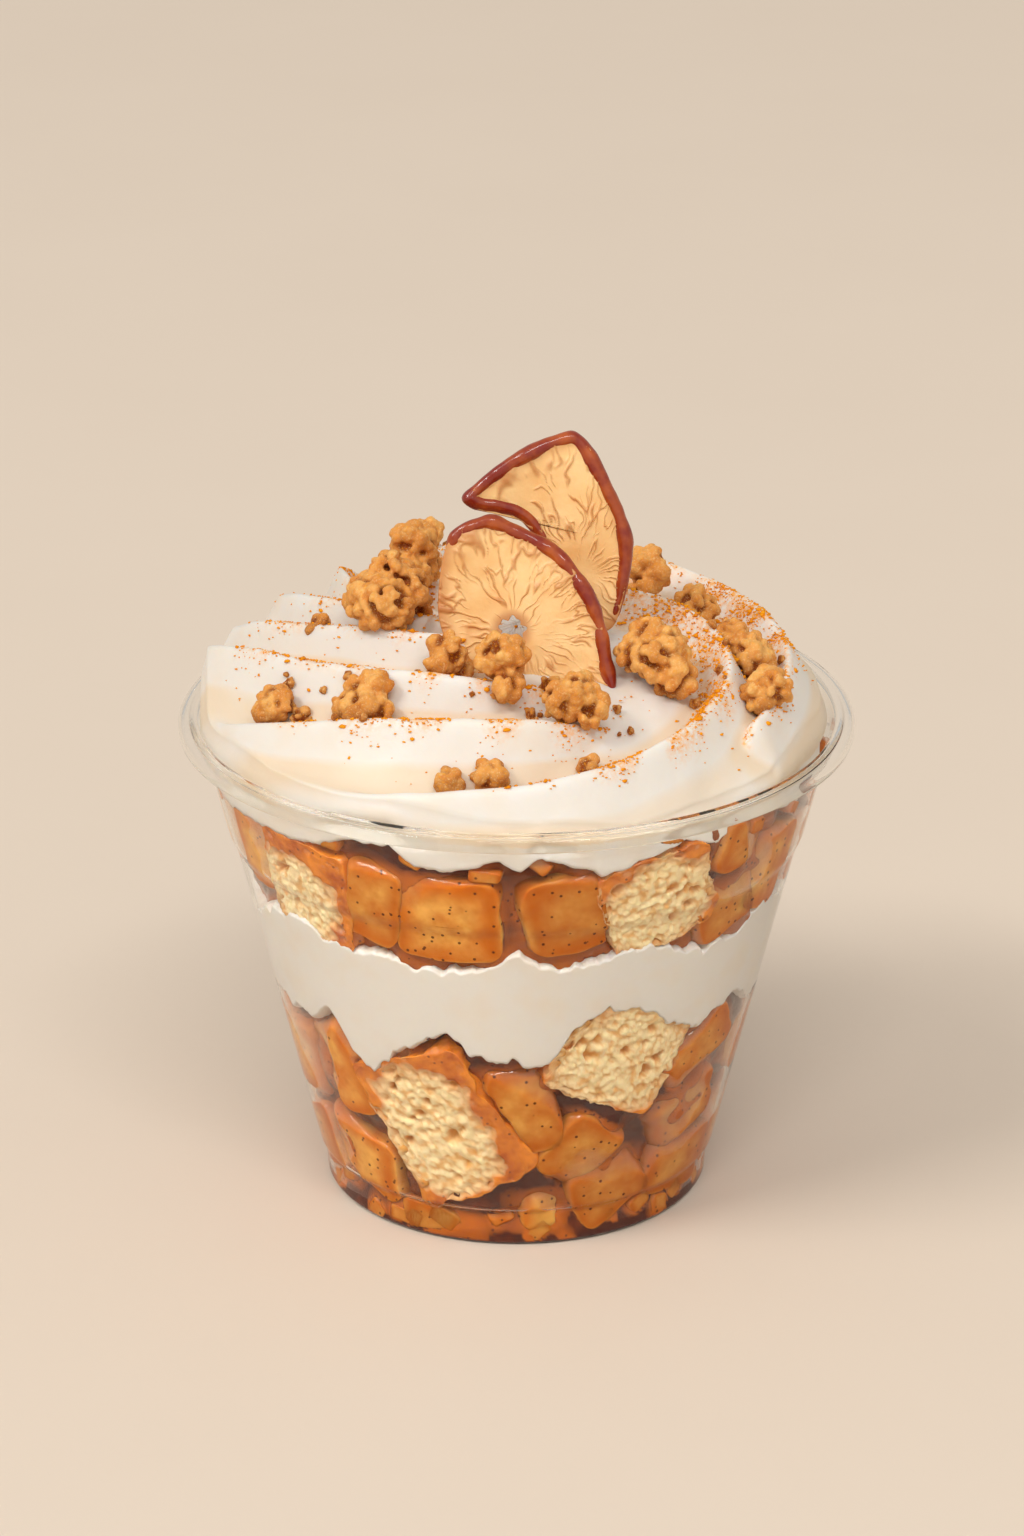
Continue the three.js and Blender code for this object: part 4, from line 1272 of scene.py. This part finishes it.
class DESSERT_OT_crumble(Operator):
    """Bakes the crumble clusters and the loose crumbs on the cream"""

    bl_idname = "dessert.crumble"
    bl_label = "Crumble"

    def execute(self, context):
        settings = context.scene.dessert_crumble
        look = crumble_material(settings, context.scene.dessert_cinnamon.colour)
        for index, cluster in enumerate(CLUSTERS):
            seed = SEED["cluster"] + index
            mesh = knobbly(f"crumble_{cluster[0]}_grains", cluster_lumps(cluster, seed), settings.voxel, seed)
            finished(mesh, look, [f"crumble_{cluster[0]}"])
        random = np.random.default_rng(SEED["loose"])
        loose = list(CRUMBS)
        for _, x, y, width, *_ in CLUSTERS:
            for _ in range(5):
                turn, reach = random.uniform(0, FULL_TURN), width * random.uniform(0.5, 0.85)
                spot = (x + reach * math.cos(turn), y + reach * math.sin(turn))
                loose.append((*spot, random.uniform(0.35, 0.8)))
        lumps = []
        for x, y, radius in loose:
            if math.hypot(x, y) > CRUMB_RADIUS:
                continue
            lumps.append(((x, y, cream_height(x, y) + radius * 0.6), radius))
        meshes = [
            knobbly(f"crumbs_{index}", [lump], settings.voxel, SEED["crumb"] + index)
            for index, lump in enumerate(lumps)
        ]
        finished(joined("loose_crumbs", meshes), look, ["cream_top"])
        return {"FINISHED"}


# ---- Dried slices ----

def closed_curve(corners, steps):
    """Points of a smooth closed curve through the corners, evenly spaced."""
    corners = np.array(corners, float)
    count = len(corners)
    points = []
    for index in range(count):
        p0, p1, p2, p3 = (corners[(index + shift) % count] for shift in (-1, 0, 1, 2))
        for share in np.linspace(0, 1, 24, endpoint=False):
            points.append(0.5 * (
                2 * p1 + (p2 - p0) * share + (2 * p0 - 5 * p1 + 4 * p2 - p3) * share**2
                + (3 * p1 - p0 - 3 * p2 + p3) * share**3
            ))
    points = np.array(points + [points[0]])
    run = np.concatenate([[0], np.cumsum(np.linalg.norm(np.diff(points, axis=0), axis=1))])
    at = np.linspace(0, run[-1], steps)
    return np.stack([np.interp(at, run, points[:, axis]) for axis in (0, 1)], axis=1)


def curl_height(x, y):
    return SLICE_CURL * (np.sin(x * 0.26 + 0.6) * np.cos(y * 0.2) + (x * x + y * y) * 0.004)


def slice_matrix(cut):
    return (
        Matrix.Translation(cut["core"])
        @ Matrix.Rotation(math.radians(cut["yaw"]), 4, "Z")
        @ Matrix.Rotation(math.radians(90 - cut["lean"]), 4, "X")
    )


def stood_up(points, cut):
    matrix = np.array(slice_matrix(cut))
    return points @ matrix[:3, :3].T + matrix[:3, 3]


def vein_pattern(x, y, seed):
    """Wrinkles that run out from the core and branch, from 0 between them to 1 on them."""
    flat = np.stack([x, y, 0 * x], axis=1)
    warp = [0.75 * noise_at(flat, 2.8, seed + k) + 0.3 * noise_at(flat, 1.2, seed + 9 + k) for k in (0, 1)]
    x, y = x + warp[0], y + warp[1]
    radius, turn = np.hypot(x, y), np.arctan2(y, x)
    total = 0 * x
    for lobes, stretch, share, inside in ((5.5, 0.15, 1.0, 0), (11.5, 0.3, 0.8, 4.5)):
        at = np.stack([np.cos(turn) * lobes, np.sin(turn) * lobes, radius * stretch], axis=1)
        line = np.exp(-((noise_at(at, 1.0, seed + 3) / 0.065) ** 2)) * smooth_step(inside, inside + 3, radius)
        broken = smooth_step(-0.35, 0.1, noise_at(flat, 3.0, seed + 21 + int(lobes)))
        total = np.maximum(total, share * line * broken)
    return total * smooth_step(1.6, 4.0, radius)


def slice_reach(cut, turn):
    """Distance from the fan's middle to the outline, for angles in the slice's plane."""
    curve = closed_curve(cut["outline"], 721)[:-1] - cut["middle"]
    turns = np.arctan2(curve[:, 1], curve[:, 0])
    order = np.argsort(turns)
    return np.interp(turn, turns[order], np.hypot(*curve[order].T), period=2 * math.pi)


def slice_mesh(name, cut, seed):
    """The flesh of a slice: front, rim and back in one closed skin, with wrinkles in relief."""
    front, rim, back = 84, 6, 16
    hole = 4 if cut["hole"] else 0
    rows = front + rim + back + hole
    middle_x, middle_y = cut["middle"]

    def place(u, v):
        turn = u * 2 * math.pi - math.pi
        row = v * rows
        from_back = np.where(row <= front + rim, 1, (front + rim + back - row) / back)
        out = np.clip(np.where(row <= front, row / front, from_back), 0, 1)
        around_rim = np.clip((row - front) / rim, 0, 1)
        start = cut["hole"] * (1 + 0.12 * np.sin(5 * turn + 1) + 0.1 * np.sin(9 * turn))
        radius = start + (slice_reach(cut, turn) - 0.8 - start) * out + 0.2 * np.sin(math.pi * around_rim)
        up = np.where(row <= front, 1, np.where(row <= front + rim, np.cos(math.pi * around_rim), -1))
        if hole:
            up = np.where(row > front + rim + back, -np.cos(math.pi * (row - front - rim - back) / hole), up)
        thin = 1 - 0.45 * np.sin(math.pi * out) ** 2
        x, y = radius * np.cos(turn) + middle_x, radius * np.sin(turn) + middle_y
        return np.stack([x, y, up * thin * SLICE_THICK / 2], axis=1)

    mesh = wrapped_grid(name, 540, rows, place)
    points = read_points(mesh)
    x, y, z = points.T
    fan_x, fan_y = cut["fan"]
    vein = vein_pattern(x - fan_x, y - fan_y, seed)
    relief = 0.22 * vein - 0.2 * noise_at(points * (1, 1, 0), 3.2, seed + 5)
    relief = np.sign(z) * relief * (np.abs(z) > 0.3)
    away = np.hypot(x - middle_x, y - middle_y)
    reach = slice_reach(cut, np.arctan2(y - middle_y, x - middle_x))
    flat = np.stack([x, y, z + relief + curl_height(x, y)], axis=1)
    write_points(mesh, stood_up(flat, cut))
    paint(mesh, "vein", vein)
    paint(mesh, "rim", smooth_step(3.2, 0.3, reach - away))
    from_core = np.hypot(x, y) - cut["hole"]
    paint(mesh, "core", 1 - smooth_step(0, 1.6, from_core) if cut["hole"] else 0 * x)
    return mesh


def skin_mesh(name, cut, seed):
    """A roll of skin along part of the rind, thicker where it has curled."""
    start, end = cut["skin"]
    curve = closed_curve(cut["outline"], 1441)
    run = np.arange(len(curve))
    steps = 170

    def place(u, v):
        at = (start + (end - start) * v) * (len(curve) - 1)
        spot = np.stack([np.interp(at, run, curve[:, axis]) for axis in (0, 1)], axis=1)
        ahead = np.stack([np.interp(at + 4, run, curve[:, axis]) for axis in (0, 1)], axis=1)
        along = ahead - spot
        along /= np.linalg.norm(along, axis=1)[:, None]
        side = np.stack([along[:, 1], -along[:, 0]], axis=1)
        ends = np.sqrt(np.clip(np.minimum(v, 1 - v) * 14, 0, 1))
        size = ends * (1 + 0.1 * np.sin(v * 31 + seed) + 0.06 * np.sin(v * 67))
        turn = u * 2 * math.pi
        flat = spot + side * (np.cos(turn) * size - SKIN_INSET)[:, None]
        z = np.sin(turn) * size * 1.05 + curl_height(flat[:, 0], flat[:, 1])
        return np.stack([flat[:, 0], flat[:, 1], z], axis=1)

    mesh = wrapped_grid(name, 24, steps, place)
    points = read_points(mesh)
    points = swelled(mesh, points, 0.1 * noise_at(points, 1.6, seed))
    write_points(mesh, stood_up(points, cut))
    return mesh


def flesh_material(settings):
    shader = Shader("dried_flesh")
    patch = shader.patches(5, 3, (0.35, 0.0), (0.7, 0.8))
    colour = shader.mix(patch, settings.flesh, srgb(238, 180, 108))
    # The wrinkles are darker partly in their own colour and partly by painted shade along their relief
    vein = shader.painted("vein")
    shade = shader.times(vein, shader.patches(2.5, 2, (0.25, 0.35), (0.7, 0.9)))
    colour = shader.mix(shade, colour, settings.vein)
    colour = shader.mix(shader.times(shader.painted("rim"), 0.7), colour, srgb(188, 104, 36))
    colour = shader.mix(shader.times(shader.painted("core"), 0.6), colour, srgb(170, 84, 28))
    height = shader.math("ADD", shader.times(vein, 0.6), shader.times(shader.noise(0.8, 4), 0.4))
    shader.set(
        Base_Color=colour, Roughness=0.42, **soft(0.2, (1.0, 0.5, 0.2), 1.2),
        Normal=shader.bump(height, 0.6, 0.35),
    )
    return shader.material


def skin_material(settings):
    shader = Shader("dried_skin")
    patch = shader.patches(3.5, 3, (0.4, 0.0), (0.72, 1.0))
    colour = shader.mix(patch, settings.skin, srgb(186, 88, 28))
    shader.set(
        Base_Color=colour, Roughness=0.4, Specular_IOR_Level=0.2, Coat_Weight=0.7, Coat_Roughness=0.1,
        Normal=shader.bump(shader.noise(0.8, 3), 0.25, 0.2),
    )
    return shader.material


class DESSERT_OT_slices(Operator):
    """Dries the two fruit slices, with veins and rolled skins"""

    bl_idname = "dessert.slices"
    bl_label = "Dried Slices"

    def execute(self, context):
        settings = context.scene.dessert_slices
        flesh, skin = flesh_material(settings), skin_material(settings)
        for side, cut in (("front", FRONT_SLICE), ("back", BACK_SLICE)):
            node, seed = f"slice_{side}", SEED[f"{side}_slice"]
            finished(slice_mesh(f"{node}_flesh", cut, seed), flesh, [node])
            finished(skin_mesh(f"{node}_skin", cut, seed), skin, [node])
        return {"FINISHED"}


# ---- Cinnamon ----

class DESSERT_OT_cinnamon(Operator):
    """Scatters cinnamon flakes over the cream"""

    bl_idname = "dessert.cinnamon"
    bl_label = "Cinnamon"

    def execute(self, context):
        settings = context.scene.dessert_cinnamon
        bm = bmesh.new()
        bmesh.ops.create_icosphere(bm, subdivisions=1, radius=1)
        base = mesh_from(bm, "flake")
        corners = read_points(base)
        faces = np.array([face.vertices[:] for face in base.polygons])
        bpy.data.meshes.remove(base)
        random = np.random.default_rng(SEED["flakes"])
        tries = settings.flakes * 9
        radius = CINNAMON_RADIUS * np.sqrt(random.random(tries))
        bearing = random.uniform(-180, 180, tries)
        spots = around(bearing, radius, np.zeros(tries))
        kept = np.flatnonzero(random.random(tries) < dust_at(spots) ** 1.4)[: settings.flakes]
        spots = spots[kept]
        spots[:, 2] = cream_top(spots[:, 0], spots[:, 1])[0]
        size = 0.08 + 0.13 * random.random(len(kept)) + 0.3 * random.random(len(kept)) ** 9
        shapes = size[:, None, None] * random.uniform(0.6, 1.4, (len(kept), 1, 3))
        shapes = shapes * (1, 1, 0.55) * corners[None]
        shapes = shapes * random.uniform(0.7, 1.3, (len(kept), len(corners), 1))
        turn = random.uniform(0, 2 * math.pi, len(kept))[:, None]
        x = shapes[..., 0] * np.cos(turn) - shapes[..., 1] * np.sin(turn)
        y = shapes[..., 0] * np.sin(turn) + shapes[..., 1] * np.cos(turn)
        points = np.stack([x, y, shapes[..., 2]], axis=2) + spots[:, None]
        index = faces[None] + len(corners) * np.arange(len(kept))[:, None, None]
        mesh = bpy.data.meshes.new("cinnamon_flakes")
        mesh.from_pydata(points.reshape(-1, 3).tolist(), [], index.reshape(-1, 3).tolist())
        shader = Shader("cinnamon")
        patch = shader.patches(3, 2, (0.3, 0.0), (0.7, 1.0))
        shader.set(
            Base_Color=shader.mix(patch, settings.colour, srgb(226, 132, 16)), Roughness=0.85,
            Specular_IOR_Level=0.1,
        )
        finished(mesh, shader.material, ["cream_top"])
        return {"FINISHED"}


# ---- Stage ----

class DESSERT_OT_stage(Operator):
    """Lays the plain ground and sets the lights and the camera"""

    bl_idname = "dessert.stage"
    bl_label = "Stage"

    def execute(self, context):
        settings = context.scene.dessert_stage
        bm = bmesh.new()
        bmesh.ops.create_grid(bm, x_segments=1, y_segments=1, size=6)
        ground = linked("ground", mesh_from(bm, "ground"))
        shader = Shader("ground")
        mottle = shader.patches(60, 3, (0.3, 0.0), (0.7, 0.15))
        shader.set(Base_Color=shader.mix(mottle, settings.floor, srgb(218, 200, 180)), Roughness=0.9)
        ground.data.materials.append(shader.material)

        world = bpy.data.worlds.new("studio")
        world.use_nodes = True
        background = world.node_tree.nodes["Background"]
        background.inputs["Color"].default_value = (1.0, 0.985, 0.96, 1)
        background.inputs["Strength"].default_value = settings.fill
        context.scene.world = world

        for name, place, width, power in (
            ("key", (-420, -260, 620), math.radians(26), settings.key),
            ("front", (420, -760, 200), math.radians(80), settings.front),
        ):
            sun = bpy.data.lights.new(name, "SUN")
            sun.angle, sun.energy, sun.color = width, power, (1.0, 0.97, 0.92)
            self.aimed(sun, place)
        for name, place, size, power in (
            ("window_left", (-1240, -840, 1640), (840, 160), 9),
            ("window_front", (160, -1280, 1720), (1120, 260), 14),
        ):
            panel = bpy.data.lights.new(name, "AREA")
            panel.shape, panel.energy = "RECTANGLE", power
            panel.size, panel.size_y = size[0] * MM, size[1] * MM
            self.aimed(panel, place)

        camera = bpy.data.cameras.new("camera")
        camera.sensor_fit, camera.sensor_width, camera.lens = "AUTO", 36, CAMERA["lens"]
        camera.clip_start, camera.clip_end = 0.01, 20
        camera.dof.use_dof = False
        rise = math.radians(CAMERA["elevation"])
        back = Vector((0, -math.cos(rise), math.sin(rise)))
        holder = linked("camera", camera)
        holder.location = (Vector(CAMERA["aim"]) + back * CAMERA["distance"]) * MM
        holder.rotation_euler = (-back).to_track_quat("-Z", "Y").to_euler()
        context.scene.camera = holder
        context.scene.view_settings.view_transform = "Standard"
        return {"FINISHED"}

    def aimed(self, light, place):
        """Sets a light at a place and turns it to the dessert."""
        holder = linked(light.name, light)
        holder.location = Vector(place) * MM
        aim = Vector(CAMERA["aim"]) - Vector(place)
        holder.rotation_euler = aim.to_track_quat("-Z", "Y").to_euler()


# ---- Panel and registration ----

SETTINGS = {
    "dessert_cup": CupSettings,
    "dessert_cream": CreamSettings,
    "dessert_fruit": FruitSettings,
    "dessert_cake": CakeSettings,
    "dessert_crumble": CrumbleSettings,
    "dessert_slices": SliceSettings,
    "dessert_cinnamon": CinnamonSettings,
    "dessert_stage": StageSettings,
}
OPERATORS = [
    DESSERT_OT_cup,
    DESSERT_OT_cream,
    DESSERT_OT_fruit,
    DESSERT_OT_cake,
    DESSERT_OT_crumble,
    DESSERT_OT_slices,
    DESSERT_OT_cinnamon,
    DESSERT_OT_stage,
]


class DESSERT_PT_panel(Panel):
    """Lists the pieces of the dessert and their settings"""

    bl_idname = "DESSERT_PT_panel"
    bl_label = "Dessert Cup"
    bl_space_type = "VIEW_3D"
    bl_region_type = "UI"
    bl_category = "Dessert"

    def draw(self, context):
        for operator, name in zip(OPERATORS, SETTINGS):
            box = self.layout.box()
            box.operator(operator.bl_idname)
            for setting in SETTINGS[name].__annotations__:
                box.prop(getattr(context.scene, name), setting)


def register():
    for kind in [*SETTINGS.values(), *OPERATORS, DESSERT_PT_panel]:
        bpy.utils.register_class(kind)
    for name, kind in SETTINGS.items():
        setattr(bpy.types.Scene, name, PointerProperty(type=kind))


def unregister():
    for name in SETTINGS:
        delattr(bpy.types.Scene, name)
    for kind in reversed([*SETTINGS.values(), *OPERATORS, DESSERT_PT_panel]):
        bpy.utils.unregister_class(kind)


def main():
    register()
    for operator in OPERATORS:
        group, name = operator.bl_idname.split(".")
        getattr(getattr(bpy.ops, group), name)()


if __name__ == "__main__":
    main()
